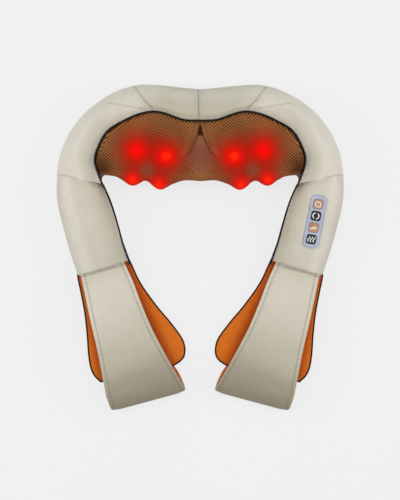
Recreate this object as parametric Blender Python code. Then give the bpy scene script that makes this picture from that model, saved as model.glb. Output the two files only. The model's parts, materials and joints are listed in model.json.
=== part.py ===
"""A shiatsu neck massager lying on its back: X across, Y towards the top of the U, Z out of the table.

Lengths are in millimetres until a mesh is made; solid() turns them into metres.
Pieces are built for the left side and mirrored to the right, except the control panel and the DC inlet.
"""

import math

import bmesh
import bpy
from mathutils import Matrix, Vector

MM = 0.001
LEFT = -1

# The U, seen from the front. Each list runs from the centre line to the left arm's seam.
RIM = [(0, 205.7), (30, 208), (58, 210.8), (82, 210.7), (107, 203.5), (132, 189), (153, 171.5),
       (170, 148.5), (181.5, 122), (187, 92.6)]
PIPING_LINE = [(0, 164.3), (22, 165.6), (47, 174.2), (62, 176.3), (79, 173), (99, 164.3), (119, 152),
               (130.5, 134), (137, 114), (131, 91.6)]
NECK = [(0, 86), (20, 87), (36, 82), (50, 75.8), (62, 80.5), (73, 85.6), (88, 80.7), (101, 87),
        (112, 92.5), (121, 90)]
CROWN = [80, 80, 80, 80, 79, 77, 75, 72, 67, 62]
ARM_OUTER = [(186.5, 91.2), (186, 66.6), (183, 45.8), (177.5, 25), (172, 4.2), (165.6, -16.6), (158.6, -36.4)]
ARM_INNER = [(124.6, 81.4), (116, 62), (110.5, 45.8), (105, 27), (99.5, 7), (94.5, -7), (91, -16.6)]
ARM_CROWN = [62, 60.5, 58.5, 55.5, 51.5, 46, 40]
FLAP_OUTER = [(158.2, -38), (153.6, -60), (149, -86), (146.2, -112.8), (144.4, -138), (141, -156),
              (135, -167), (126, -175)]
FLAP_INNER = [(90.5, -18), (77, -46), (57, -74.5), (37, -98.5), (22, -120), (19.5, -138), (27, -149),
              (44, -156.5)]
STRAP_OUTER = [(154.4, -38), (147.3, -62), (137.6, -97.6), (129, -133.8), (123.3, -170), (119.5, -194.8)]
STRAP_INNER = [(97.6, -21), (86.2, -44.1), (74.7, -74.6), (61.3, -105.2), (46.1, -133.8), (32.7, -160)]
STRAP_FRONT_Z = [29.5, 31.5, 33.5, 33.5, 31.5, 28]

# Skins and pads
LEATHER = 2.0
MESH = 1.6
GAP = 0.4
PIPING_R = 1.9
ROOF_LOW = 82.0
ROOF_HIGH = 97.0
FLAP_Z = (7.0, 19.0)
STRAP_THICK = 2.8
STRAP_REAR_Z = 2.2

# Hard core
CORE_X = 104.0
CORE_Y = (105.5, 166.0)
CORE_REAR_Z = 9.0
CORE_SPLIT_Z = 40.0
CORE_FRONT_Z = 62.0
CORE_CORNER = 10.0
WALL = 2.5
ROOF_WALL = 1.9
POSTS = [(-95, 115), (-95, 157), (95, 115), (95, 157)]

# Drive: one motor, a worm on each end of its shaft, and two wheels on each worm
TEETH = 20
MODULE = 1.25
PITCH = math.pi * MODULE
WHEEL_R = TEETH * MODULE / 2
WORM_R = 5.0
CENTRES = WHEEL_R + WORM_R
TOOTH_UP = 1.05
TOOTH_DOWN = 1.35
WHEEL_HALF = 3.0
SHAFT_R = 2.5
SPINDLE_R = 3.0
BORE_GAP = 0.3
MOTOR_R = 16.0
MOTOR_HALF = 25.5
WORM_SPAN = (-79.0, -54.0)

UPPER = Vector((-63.5, 122.0, 53.5))
LOWER = Vector((-68.5, UPPER.y + CENTRES, UPPER.z - CENTRES))
DRIVE_Y = UPPER.y + CENTRES
DRIVE_Z = UPPER.z
UPPER_ORBIT = 19.5
UPPER_NODE_R = 15.0
UPPER_TILT = math.radians(-10.5)
LOWER_ORBIT = 17.0
LOWER_NODE_R = 11.0

# Control panel on the right arm
PANEL_AT = Vector((149.0, 33.1, 58.0))
PANEL_LEAN = math.radians(11.1)
PANEL_SLOPE = math.radians(7)
PANEL_SIZE = (21.0, 70.0)
PANEL_DEEP = 8.5
BUTTON_STEP = 15.6
BUTTON = 12.3


def material(name, colour, roughness, metallic=0.0):
    found = bpy.data.materials.get(name)
    if found:
        return found
    made = bpy.data.materials.new(name)
    made.use_nodes = True
    shader = made.node_tree.nodes["Principled BSDF"]
    shader.inputs["Base Color"].default_value = (*colour, 1)
    shader.inputs["Roughness"].default_value = roughness
    shader.inputs["Metallic"].default_value = metallic
    return made


def leather():
    return material("beige_leather", (0.60, 0.54, 0.42), 0.5)


def brown_mesh():
    return material("brown_mesh", (0.25, 0.12, 0.05), 0.8)


def orange_fabric():
    return material("orange_fabric", (0.55, 0.12, 0.01), 0.75)


def black_cord():
    return material("black_cord", (0.02, 0.02, 0.02), 0.6)


def foam():
    return material("foam", (0.75, 0.72, 0.62), 0.95)


def grey_plastic():
    return material("grey_plastic", (0.10, 0.10, 0.11), 0.5)


def red_plastic():
    return material("red_plastic", (0.65, 0.03, 0.01), 0.3)


def white_plastic():
    return material("white_plastic", (0.80, 0.80, 0.76), 0.4)


def steel():
    return material("steel", (0.55, 0.56, 0.58), 0.3, 1.0)


def brass():
    return material("brass", (0.65, 0.45, 0.16), 0.35, 1.0)


def board_green():
    return material("board_green", (0.02, 0.16, 0.05), 0.5)


def lavender_plastic():
    return material("lavender_plastic", (0.45, 0.47, 0.66), 0.35)


def copper_plastic():
    return material("copper_plastic", (0.50, 0.22, 0.11), 0.35)


def black_plastic():
    return material("black_plastic", (0.01, 0.01, 0.015), 0.25)


def solid(name, points, faces, look, origin=(0, 0, 0)):
    """One closed body from points in world millimetres, with its object's origin at the given point."""
    at = Vector(origin)
    mesh = bpy.data.meshes.new(name)
    mesh.from_pydata([(Vector(p) - at) * MM for p in points], [], faces)
    build = bmesh.new()
    build.from_mesh(mesh)
    bmesh.ops.remove_doubles(build, verts=build.verts, dist=1e-7)
    bmesh.ops.recalc_face_normals(build, faces=build.faces)
    build.to_mesh(mesh)
    build.free()
    mesh.shade_smooth()
    mesh.set_sharp_from_angle(angle=math.radians(32))
    mesh.materials.append(look)
    made = bpy.data.objects.new(name, mesh)
    made.location = at * MM
    bpy.context.scene.collection.objects.link(made)
    return made


def mirrored(source, name):
    """The right-hand twin of a left-hand piece."""
    mesh = source.data.copy()
    mesh.name = name
    build = bmesh.new()
    build.from_mesh(mesh)
    for vertex in build.verts:
        vertex.co.x = -vertex.co.x
    bmesh.ops.reverse_faces(build, faces=build.faces)
    build.to_mesh(mesh)
    build.free()
    made = bpy.data.objects.new(name, mesh)
    made.location = (-source.location.x, source.location.y, source.location.z)
    bpy.context.scene.collection.objects.link(made)
    return made


def pair(stem, left):
    """Names the left-hand piece and adds its twin."""
    left.name = stem + "_left"
    return left, mirrored(left, stem + "_right")


def combine(target, tool, operation):
    """Boolean of two objects; the tool is used up."""
    bpy.context.view_layer.update()
    step = target.modifiers.new("step", "BOOLEAN")
    step.operation = operation
    step.solver = "EXACT"
    step.object = tool
    bpy.context.view_layer.objects.active = target
    bpy.ops.object.modifier_apply(modifier=step.name)
    bpy.data.objects.remove(tool)
    return target


def cut(target, tool):
    return combine(target, tool, "DIFFERENCE")


def join(target, tool):
    return combine(target, tool, "UNION")


def loft(name, rings, look, origin=(0, 0, 0), closed=False):
    """A body through closed rings of points, capped at both ends, or closed on itself."""
    count = len(rings[0])
    points = [p for ring in rings for p in ring]
    faces = []
    spans = len(rings) if closed else len(rings) - 1
    for i in range(spans):
        a = i * count
        b = (i + 1) % len(rings) * count
        for j in range(count):
            k = (j + 1) % count
            faces.append((a + j, a + k, b + k, b + j))
    if not closed:
        faces.append(tuple(range(count)))
        faces.append(tuple(range(len(points) - count, len(points))))
    return solid(name, points, faces, look, origin)


def prism(name, outline, low, high, look, origin=(0, 0, 0)):
    rings = [[(x, y, z) for x, y in outline] for z in (low, high)]
    return loft(name, rings, look, origin)


def box(name, low, high, look, origin=(0, 0, 0)):
    (x0, y0, z0), (x1, y1, z1) = low, high
    return prism(name, [(x0, y0), (x1, y0), (x1, y1), (x0, y1)], z0, z1, look, origin)


def turned(name, profile, centre, axis, look, origin=None, count=16):
    """A profile of (radius, height) turned about an axis letter; a closed profile with a bore has no zero radius."""
    at = Vector(centre)
    order = {"Z": (0, 1, 2), "Y": (2, 0, 1), "X": (1, 2, 0)}[axis]
    rings = []
    for r, h in profile:
        ring = []
        for i in range(count):
            angle = 2 * math.pi * i / count
            local = [0.0, 0.0, 0.0]
            local[order[0]] = r * math.cos(angle)
            local[order[1]] = r * math.sin(angle)
            local[order[2]] = h
            ring.append(at + Vector(local))
        rings.append(ring)
    bored = min(r for r, _ in profile) > 0 and profile[0] == profile[-1]
    if bored:
        return loft(name, rings[:-1], look, origin or centre, closed=True)
    return loft(name, rings, look, origin or centre)


def rod(name, radius, low, high, centre, axis, look, origin=None, count=14):
    return turned(name, [(radius, low), (radius, high)], centre, axis, look, origin, count)


def tube(name, outer, inner, low, high, centre, axis, look, count=16):
    profile = [(inner, low), (outer, low), (outer, high), (inner, high), (inner, low)]
    return turned(name, profile, centre, axis, look, count=count)


def rounded(width, height, radius, centre=(0, 0), steps=3):
    """The outline of a rectangle with round corners."""
    points = []
    for corner in range(4):
        sx = (1, -1, -1, 1)[corner]
        sy = (1, 1, -1, -1)[corner]
        for i in range(steps + 1):
            angle = math.pi / 2 * (corner + i / steps)
            x = sx * (width / 2 - radius) + radius * math.cos(angle)
            y = sy * (height / 2 - radius) + radius * math.sin(angle)
            points.append((centre[0] + x, centre[1] + y))
    return points


def spline(values, steps):
    """Points of a smooth curve through the values, the given number of steps between each two."""
    rows = [Vector(v if hasattr(v, "__len__") else (v, 0)) for v in values]
    ends = [2 * rows[0] - rows[1]] + rows + [2 * rows[-1] - rows[-2]]
    found = []
    for i in range(1, len(rows)):
        a, b, c, d = ends[i - 1:i + 3]
        for k in range(steps):
            t = k / steps
            found.append(0.5 * (2 * b + (c - a) * t + (2 * a - 5 * b + 4 * c - d) * t * t
                                + (3 * b - a - 3 * c + d) * t ** 3))
    return found + [rows[-1]]


def across(centre_out):
    """The same row of stations from the left arm's seam, over the centre line, to the right arm's seam."""
    left = [[(LEFT * p[0], *p[1:]) for p in row] for row in centre_out]
    return left[::-1] + centre_out[1:]


def grid_normals(grid):
    rows = len(grid)
    columns = len(grid[0])
    found = []
    for i in range(rows):
        line = []
        for j in range(columns):
            along = Vector(grid[min(i + 1, rows - 1)][j]) - Vector(grid[max(i - 1, 0)][j])
            over = Vector(grid[i][min(j + 1, columns - 1)]) - Vector(grid[i][max(j - 1, 0)])
            line.append(along.cross(over).normalized())
        found.append(line)
    return found


def offset(grid, distance):
    """The grid moved along its own normals; the sign picks the side."""
    normals = grid_normals(grid)
    return [[Vector(p) + n * distance for p, n in zip(row, line)] for row, line in zip(grid, normals)]


def skin(name, grid, thickness, look):
    """A closed sheet: the grid, its offset by the thickness, and the edges between them."""
    inner = offset(grid, thickness)
    rings = [list(row) + back[::-1] for row, back in zip(grid, inner)]
    return loft(name, rings, look)


def cord_along(name, path, radius, look, origin=(0, 0, 0), count=6):
    rings = []
    for i, point in enumerate(path):
        here = Vector(point)
        ahead = Vector(path[min(i + 1, len(path) - 1)]) - Vector(path[max(i - 1, 0)])
        ahead.normalize()
        side = ahead.cross(Vector((0, 0, 1))).normalized()
        up = side.cross(ahead)
        rings.append([here + radius * (side * math.cos(2 * math.pi * k / count)
                                       + up * math.sin(2 * math.pi * k / count)) for k in range(count)])
    return loft(name, rings, look, origin)


def core_lines(steps):
    """The rim, piping and neck lines and the leather's height, station by station from the centre out."""
    return list(zip(spline(RIM, steps), spline(PIPING_LINE, steps), spline(NECK, steps),
                    [v.x for v in spline(CROWN, steps)]))


LEATHER_PROFILE = [(0.93, 0.945), (0.75, 1.0), (0.5, 0.97), (0.25, 0.86), (0.08, 0.68), (0.0, 0.48),
                   (0.08, 0.26), (0.25, 0.09), (0.5, 0.01), (0.8, 0.0)]


def leather_row(rim, pipe, neck, crown):
    row = []
    for share, height in LEATHER_PROFILE:
        flat = rim.lerp(pipe, share)
        row.append((flat.x, flat.y, crown * height))
    length = (neck - pipe).length
    for left_over in (max(length - 22, 0.45 * length), max(length - 9, 0.75 * length)):
        flat = pipe.lerp(neck, left_over / length)
        row.append((flat.x, flat.y, 0.0))
    return row


def leather_grid(steps=1):
    return across([leather_row(*line) for line in core_lines(steps)])


def roof(x, y):
    """Height of the cover's front over a point: high above the turning nodes, low elsewhere."""
    away = math.hypot(abs(x) + UPPER.x, y - UPPER.y)
    t = min(max((60 - away) / 24, 0), 1)
    return ROOF_LOW + (ROOF_HIGH - ROOF_LOW) * t * t * (3 - 2 * t)


def mesh_row(rim, pipe, neck, crown):
    length = (neck - pipe).length
    inward = (neck - pipe).normalized()
    start = 3.1
    drop = min(14, 0.45 * length)
    ceiling = min(1, length / 40)
    row = []
    for share in (0, 0.08, 0.2, 0.36, 0.52, 0.68, 0.82, 0.92, 0.98, 1):
        reach = start + (length - start) * share
        flat = pipe + inward * reach
        base = crown * 0.945 - 1
        full = base + (roof(flat.x, flat.y) - base) * ceiling
        height = base + (full - base) * min(1, share / 0.2) ** 0.7
        nearness = max(0, 1 - (length - reach) / drop)
        height -= drop * (1 - math.sqrt(max(0, 1 - nearness ** 2)))
        row.append((flat.x, flat.y, height))
    back = inward * min(8, length * 0.5)
    row.append((neck.x, neck.y, 50))
    row.append((neck.x, neck.y, 22))
    row.append((neck.x - back.x * 0.35, neck.y - back.y * 0.35, 9))
    row.append((neck.x - back.x, neck.y - back.y, 4.6))
    return row


def leather_core_cover():
    made = skin("leather_core_cover", leather_grid(), -LEATHER, leather())
    return cut(made, rod("tool", 8.4, 180, 230, (45, 0, 24), "Y", steel()))


def mesh_cover():
    grid = across([mesh_row(*line) for line in core_lines(1)])
    return skin("mesh_cover", grid, MESH, brown_mesh())


def core_piping():
    line = across([[(pipe.x, pipe.y, crown * 0.945 + 0.3)] for _, pipe, _, crown in core_lines(1)])
    return cord_along("core_piping", [row[0] for row in line], PIPING_R, black_cord())


def rim_foam():
    """The padding behind the leather along the top of the U."""
    inside = offset(leather_grid(), -(LEATHER + 1.2))
    rings = [row[1:9] for row in inside]
    for ring, row in zip(rings, inside):
        ring[0] = row[1].lerp(row[0], 0.4)
    rings = [[p + (row[5] - p) * 0.02 for p in ring] for ring, row in zip(rings, inside)]
    made = loft("rim_foam", rings[1:-1], foam())
    return cut(made, rod("tool", 8.6, 184, 230, (45, 0, 24), "Y", steel()))


def rear_foam_pad():
    x = CORE_X - 4
    outline = rounded(2 * x, 56, 8, (0, 137))
    return prism("rear_foam_pad", outline, LEATHER + 0.6, CORE_REAR_Z - 0.6, foam())


def shell_outline(inset):
    width = 2 * (CORE_X - inset)
    height = CORE_Y[1] - CORE_Y[0] - 2 * inset
    return rounded(width, height, CORE_CORNER - inset, (0, sum(CORE_Y) / 2))


def core_rear_shell():
    made = prism("core_rear_shell", shell_outline(0), CORE_REAR_Z, CORE_SPLIT_Z - 0.15, grey_plastic())
    cut(made, prism("tool", shell_outline(WALL), CORE_REAR_Z + WALL, CORE_SPLIT_Z + 5, steel()))
    for x, y in POSTS:
        join(made, rod("tool", 5, CORE_REAR_Z + 1, CORE_SPLIT_Z - 0.15, (x, y, 0), "Z", steel(), count=10))
    for side in (-1, 1):
        x = side * LOWER.x
        join(made, box("tool", (x - 8, 147.5, CORE_REAR_Z + 1), (x + 8, 150.5, CORE_SPLIT_Z - 0.15), steel()))
    for x, y in POSTS:
        cut(made, rod("tool", 1.9, 0, 60, (x, y, 0), "Z", steel(), count=10))
        cut(made, rod("tool", 3.5, 0, CORE_REAR_Z + 5, (x, y, 0), "Z", steel(), count=10))
    for side in (-1, 1):
        x = side * LOWER.x
        r = SPINDLE_R + BORE_GAP
        cut(made, rod("tool", r, 95, 160, (x, 0, LOWER.z), "Y", steel()))
        cut(made, box("tool", (x - r, 144, LOWER.z), (x + r, 160, LOWER.z + 20), steel()))
    return made


def core_front_shell():
    low = CORE_SPLIT_Z + 0.15
    bump = [(MOTOR_HALF + 2.7, MOTOR_R + 3.0), (MOTOR_HALF + 0.7, MOTOR_R + 0.8)]
    made = prism("core_front_shell", shell_outline(0), low, CORE_FRONT_Z, grey_plastic())
    outer = rounded(2 * bump[0][0], 2 * bump[0][1], 4, (0, DRIVE_Y), steps=2)
    join(made, prism("tool", outer, low + 8, DRIVE_Z + bump[0][1], steel()))
    cut(made, prism("tool", shell_outline(WALL), low - 5, CORE_FRONT_Z - ROOF_WALL, steel()))
    inner = rounded(2 * bump[1][0], 2 * bump[1][1], 2.5, (0, DRIVE_Y), steps=2)
    cut(made, prism("tool", inner, low - 5, DRIVE_Z + bump[1][1], steel()))
    for x, y in POSTS:
        join(made, rod("tool", 5, low, CORE_FRONT_Z - 1, (x, y, 0), "Z", steel(), count=10))
        cut(made, rod("tool", 1.9, 0, low + 12, (x, y, 0), "Z", steel(), count=10))
    for side in (-1, 1):
        join(made, box("tool", (side * 89 - 1.5, DRIVE_Y - 8, 46), (side * 89 + 1.5, DRIVE_Y + 8,
                       CORE_FRONT_Z - 1), steel()))
        r = SHAFT_R + BORE_GAP
        cut(made, rod("tool", r, side * 89 - 4, side * 89 + 4, (0, DRIVE_Y, DRIVE_Z), "X", steel()))
        cut(made, box("tool", (side * 89 - 4, DRIVE_Y - r, 44), (side * 89 + 4, DRIVE_Y + r, DRIVE_Z), steel()))
        x = side * UPPER.x
        cut(made, rod("tool", SPINDLE_R + BORE_GAP, 50, 70, (x, UPPER.y, 0), "Z", steel()))
    return made


def housing_screws():
    names = ["housing_screw_left_low", "housing_screw_left_high", "housing_screw_right_low",
             "housing_screw_right_high"]
    head = CORE_REAR_Z + 4.6
    for name, (x, y) in zip(names, POSTS):
        profile = [(3.0, head - 2.6), (3.0, head), (1.5, head), (1.5, CORE_SPLIT_Z + 9)]
        turned(name, profile, (x, y, 0), "Z", steel(), count=12)


def motor():
    end = MOTOR_HALF
    r = MOTOR_R
    bore = SHAFT_R + BORE_GAP
    profile = [(bore, -end - 3), (5, -end - 3), (5, -end), (r - 1, -end), (r, -end + 1), (r, end - 1),
               (r - 1, end), (5, end), (5, end + 3), (bore, end + 3), (bore, -end - 3)]
    return turned("motor", profile, (0, DRIVE_Y, DRIVE_Z), "X", steel(), count=18)


def motor_shaft():
    return rod("motor_shaft", SHAFT_R, -92, 92, (0, DRIVE_Y, DRIVE_Z), "X", steel(), count=16)


def worm():
    """A single right-handed thread; its rows follow the helix, so one turn of the grid shifts it by a pitch."""
    low, high = WORM_SPAN
    count = 10
    root = WORM_R - TOOTH_DOWN
    tip = WORM_R + TOOTH_UP
    turn = [(-0.27, root), (-0.11, tip), (0.11, tip), (0.27, root)]
    turns = round((high - low) / PITCH) + 3
    rows = [(low + PITCH * (i - 1.5) + PITCH * share, r) for i in range(turns) for share, r in turn]
    bore = SHAFT_R + BORE_GAP

    def place(row, column):
        x, r = rows[row]
        x += PITCH * column / count
        if x < low + 0.6:
            x, r = low, root
        if x > high - 0.6:
            x, r = high, root
        angle = 2 * math.pi * column / count
        return (x, DRIVE_Y + r * math.cos(angle), DRIVE_Z + r * math.sin(angle))

    points = [place(row, column) for row in range(len(rows)) for column in range(count)]
    faces = []
    for row in range(len(rows) - 1):
        for column in range(count):
            a = row * count + column
            b = a + count
            c, d = a + 1, b + 1
            if column == count - 1:
                c, d = (row + 4) * count, (row + 5) * count
            if max(a, b, c, d) < len(points):
                faces.append((a, c, d, b))
    first = len(points)
    for x in (low, high):
        for r in (root, bore):
            for column in range(count):
                angle = 2 * math.pi * column / count
                points.append((x, DRIVE_Y + r * math.cos(angle), DRIVE_Z + r * math.sin(angle)))
    for column in range(count):
        k = (column + 1) % count
        for ring in (0, 2):
            a = first + ring * count
            faces.append((a + column, a + k, a + count + k, a + count + column))
        a = first + count
        b = first + 3 * count
        faces.append((a + column, a + k, b + k, b + column))
    return solid("worm", points, faces, brass(), (0, DRIVE_Y, DRIVE_Z))


def wheel(centre, to_worm, axle):
    """A worm wheel whose teeth stand in the worm's gaps: the thread's phase and lean come from its side of the worm."""
    side = -to_worm
    turn_angle = math.atan2(side.z, side.y)
    crest = WORM_SPAN[0] + PITCH * (turn_angle / (2 * math.pi) - 1.5)
    start = (crest + PITCH / 2 - centre.x) / WHEEL_R
    lean = PITCH / (2 * math.pi * WORM_R) / Vector((1, 0, 0)).cross(side).dot(axle)
    root = WHEEL_R - TOOTH_DOWN
    tip = WHEEL_R + TOOTH_UP
    tooth = [(-0.29, root), (-0.11, tip), (0.11, tip), (0.29, root)]
    along = Vector((1, 0, 0))
    rings = []
    for height in (-WHEEL_HALF, WHEEL_HALF):
        outer = []
        inner = []
        for k in range(TEETH):
            for share, r in tooth:
                angle = start + (2 * math.pi / TEETH) * (k + share) + lean * height / WHEEL_R
                outer.append(centre + axle * height + r * (to_worm * math.cos(angle) + along * math.sin(angle)))
            angle = start + 2 * math.pi / TEETH * k
            r = SPINDLE_R + BORE_GAP
            inner.append(centre + axle * height + r * (to_worm * math.cos(angle) + along * math.sin(angle)))
        rings.append((outer, inner))
    points = [p for outer, inner in rings for p in outer + inner]
    size = 5 * TEETH
    faces = []
    for k in range(TEETH):
        ahead = (k + 1) % TEETH
        for base in (0, size):
            teeth = [base + 4 * k + i for i in range(4)]
            faces.append((*teeth, base + 4 * ahead, base + 4 * TEETH + ahead, base + 4 * TEETH + k))
        for i in range(4):
            a = 4 * k + i
            b = (a + 1) % (4 * TEETH)
            faces.append((a, b, size + b, size + a))
        a = 4 * TEETH + k
        b = 4 * TEETH + ahead
        faces.append((a, b, size + b, size + a))
    return solid("wheel", points, faces, white_plastic(), centre)


def upper_wheel():
    return wheel(UPPER, Vector((0, 1, 0)), Vector((0, 0, 1)))


def lower_wheel():
    return wheel(LOWER, Vector((0, 0, 1)), Vector((0, 1, 0)))


def upper_spindle():
    return rod("spindle", SPINDLE_R, 43.8, 69.2, (UPPER.x, UPPER.y, 0), "Z", steel(), UPPER, 16)


def lower_spindle():
    return rod("spindle", SPINDLE_R, 101.9, 151.5, (LOWER.x, 0, LOWER.z), "Y", steel(), LOWER, 16)


def gear_bracket():
    """A bent steel bridge that holds the lower end of the upper spindle above the lower spindle."""
    x, y = UPPER.x, UPPER.y
    made = box("gear_bracket", (x - 18, y - 8, 12), (x + 16, y + 8, 47), steel())
    cut(made, box("tool", (x - 16, y - 20, 5), (x + 14, y + 20, 44.5), steel()))
    return cut(made, rod("tool", SPINDLE_R + BORE_GAP, 40, 50, (x, y, 0), "Z", steel(), count=10))


def bar_outline(orbit, radius, lean, centre, steps=8):
    """Outline of a bar with round ends, one round each node."""
    points = []
    for end in (0, 1):
        for i in range(steps + 1):
            angle = lean + math.pi * end - math.pi / 2 + math.pi * i / steps
            hub = lean + math.pi * end
            points.append((centre[0] + orbit * math.cos(hub) + radius * math.cos(angle),
                           centre[1] + orbit * math.sin(hub) + radius * math.sin(angle)))
    return points


def upper_seat(end):
    angle = UPPER_TILT + math.pi * end
    return (UPPER.x + UPPER_ORBIT * math.cos(angle), UPPER.y + UPPER_ORBIT * math.sin(angle))


def upper_carrier():
    outline = bar_outline(UPPER_ORBIT, 10, UPPER_TILT, (UPPER.x, UPPER.y))
    made = prism("carrier", outline, 66.5, 70.5, white_plastic(), UPPER)
    join(made, rod("tool", 6.5, 63, 68, (UPPER.x, UPPER.y, 0), "Z", steel()))
    for end in (0, 1):
        join(made, rod("tool", 4, 68, 80, (*upper_seat(end), 0), "Z", steel(), count=16))
    return cut(made, rod("tool", SPINDLE_R + BORE_GAP, 60, 69.5, (UPPER.x, UPPER.y, 0), "Z", steel(), count=16))


def upper_node(end):
    """A dome with a blind hole for its seat."""
    r = UPPER_NODE_R
    profile = [(4.3, 80.4), (4.3, 71), (r - 1, 71), (r, 72.5), (r, 78)]
    for i in range(1, 5):
        angle = math.pi / 2 * i / 5
        profile.append((r * math.cos(angle), 78 + 15 * math.sin(angle)))
    profile.append((0.8, 93))
    return turned("node", profile, (*upper_seat(end), 0), "Z", red_plastic(), UPPER, 16)


def lower_seat(end):
    return (LOWER.x + LOWER_ORBIT * (1 - 2 * end), LOWER.z)


def lower_carrier():
    made = prism("carrier", bar_outline(LOWER_ORBIT, 8, 0, (0, 0)), 0, 3.5, white_plastic())
    for vertex in made.data.vertices:
        x, y, z = vertex.co / MM
        vertex.co = Vector((x, 104 - z - LOWER.y, y)) * MM
    made.location = LOWER * MM
    build = bmesh.new()
    build.from_mesh(made.data)
    bmesh.ops.recalc_face_normals(build, faces=build.faces)
    build.to_mesh(made.data)
    build.free()
    for end in (0, 1):
        x, z = lower_seat(end)
        join(made, rod("tool", 3, 93.5, 102, (x, 0, z), "Y", steel(), count=16))
    return cut(made, rod("tool", SPINDLE_R + BORE_GAP, 101.6, 110, (LOWER.x, 0, LOWER.z), "Y", steel(), count=16))


def lower_node(end):
    r = LOWER_NODE_R
    profile = [(3.3, -93), (3.3, -100), (r - 1, -100), (r, -99), (r, -95)]
    for i in range(1, 4):
        angle = math.pi / 2 * i / 4
        profile.append((r * math.cos(angle), -95 + 7 * math.sin(angle)))
    profile.append((0.6, -88))
    x, z = lower_seat(end)
    return turned("node", [(a, -b) for a, b in profile], (x, 0, z), "Y", red_plastic(), LOWER, 14)


def lamp_board():
    """A ring board round the upper spindle with the red heat lamps on it."""
    x, y = UPPER.x, UPPER.y
    made = tube("lamp_board", 17, 8, 62.4, 63.9, (x, y, 0), "Z", board_green(), count=12)
    for k in range(4):
        angle = math.pi / 4 + math.pi / 2 * k
        at = (x + 12.5 * math.cos(angle), y + 12.5 * math.sin(angle), 0)
        join(made, rod("tool", 2.2, 63.2, 65.6, at, "Z", steel(), count=8))
    return made


def control_board():
    made = box("control_board", (-34, 111, 16), (34, 152, 17.6), board_green())
    for low, high in (((-28, 116, 17), (-14, 130, 24)), ((-6, 118, 17), (6, 130, 20)),
                      ((14, 136, 17), (30, 146, 26))):
        join(made, box("tool", low, high, steel()))
    return made


def dc_inlet():
    profile = [(6, 188), (6, 202.5), (8, 202.5), (8, 206.5), (2.75, 206.5), (2.75, 194), (1, 194), (1, 204)]
    return turned("dc_inlet", profile, (45, 0, 24), "Y", black_plastic(), count=16)


def oval(outer, inner, low, high, inset=0.0, count=14, power=2.6):
    """A ring standing upright between an outer and an inner point, its corners rounder for a lower power."""
    outer, inner = Vector(outer), Vector(inner)
    half = (outer - inner).length / 2 - inset
    way = (outer - inner).normalized()
    middle = (outer + inner) / 2
    tall = (high - low) / 2 - inset
    ring = []
    for k in range(count):
        angle = 2 * math.pi * (k + 0.5) / count
        c, s = math.cos(angle), math.sin(angle)
        flat = middle + way * half * math.copysign(abs(c) ** (2 / power), c)
        ring.append((LEFT * flat.x, flat.y, (high + low) / 2 + tall * math.copysign(abs(s) ** (2 / power), s)))
    return ring


def arm_rings(inset):
    rings = []
    for a, b, top in zip(map(Vector, ARM_OUTER), map(Vector, ARM_INNER), ARM_CROWN):
        edge = b + (a - b).normalized() * (2 * PIPING_R + GAP)
        rings.append(oval(a, edge, 0.3, top, inset))
    return rings


def seam_point(outer, inner, height):
    middle = (Vector(outer) + Vector(inner)) / 2
    return (LEFT * middle.x, middle.y, height)


ARM_HINGE = seam_point((186.6, 91.7), (124.5, 81.9), 62.5)
CUFF_HINGE = seam_point((158.6, -37.2), (91, -17.2), 40.5)


def arm_sleeve():
    outer = arm_rings(0)
    inner = arm_rings(LEATHER)
    return loft("sleeve", outer + inner[::-1], leather(), ARM_HINGE, closed=True)


def arm_foam():
    return loft("foam", arm_rings(LEATHER + 0.5), foam(), ARM_HINGE)


def arm_piping():
    path = [(LEFT * (p.x + PIPING_R), p.y, 28) for p in map(Vector, ARM_INNER)]
    return cord_along("piping", path, PIPING_R, black_cord(), ARM_HINGE)


def flap_outline(inset):
    """The flap's edge from the cuff down, along the bottom and up to the cuff, moved inwards."""
    line = [Vector(p) for p in FLAP_OUTER + FLAP_INNER[::-1]]
    moved = []
    for i, point in enumerate(line):
        ahead = (line[min(i + 1, len(line) - 1)] - line[max(i - 1, 0)]).normalized()
        moved.append(point + inset * Vector((ahead.y, -ahead.x)))
    return moved


def flap():
    line = flap_outline(2 * PIPING_R + 0.7)
    half = len(FLAP_OUTER)
    rings = [oval(a, b, *FLAP_Z, count=12, power=3.5) for a, b in zip(line[:half], line[:half - 1:-1])]
    return loft("flap", rings, orange_fabric(), CUFF_HINGE)


def flap_piping():
    """The cord round the flap: down its outer edge, along the bottom and up the inner edge."""
    path = [(LEFT * p.x, p.y, sum(FLAP_Z) / 2) for p in flap_outline(PIPING_R)]
    return cord_along("flap_piping", path, PIPING_R, black_cord(), CUFF_HINGE)


def hand_strap():
    """One band from the front of the cuff, round below the flap and up behind it."""
    outer = [Vector((p.x, p.y, z)) for p, z in zip(map(Vector, STRAP_OUTER), STRAP_FRONT_Z)]
    inner = [Vector((p.x, p.y, z)) for p, z in zip(map(Vector, STRAP_INNER), STRAP_FRONT_Z)]
    last = [outer[-1], inner[-1]]
    centre_z = (STRAP_FRONT_Z[-1] + STRAP_REAR_Z) / 2
    radius = (STRAP_FRONT_Z[-1] - STRAP_REAR_Z) / 2
    down = Vector((-0.27, -0.963, 0))
    lines = [outer, inner]
    for line, end, reach in zip(lines, last, (15.2, 25)):
        for k in range(1, 6):
            angle = math.pi / 2 - math.pi * k / 6
            at = end + down * reach * math.cos(angle)
            line.append(Vector((at.x, at.y, centre_z + radius * math.sin(angle))))
        for source in line[5::-1]:
            line.append(Vector((source.x, source.y, STRAP_REAR_Z)))
    rings = []
    for i in range(len(outer)):
        ahead = outer[min(i + 1, len(outer) - 1)] + inner[min(i + 1, len(inner) - 1)]
        behind = outer[max(i - 1, 0)] + inner[max(i - 1, 0)]
        width = (inner[i] - outer[i]).normalized()
        normal = (ahead - behind).cross(width).normalized() * STRAP_THICK / 2
        ring = [outer[i] + normal, inner[i] + normal, inner[i] - normal, outer[i] - normal]
        rings.append([(LEFT * p.x, p.y, p.z) for p in ring])
    return loft("strap", rings, leather(), CUFF_HINGE)


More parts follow.
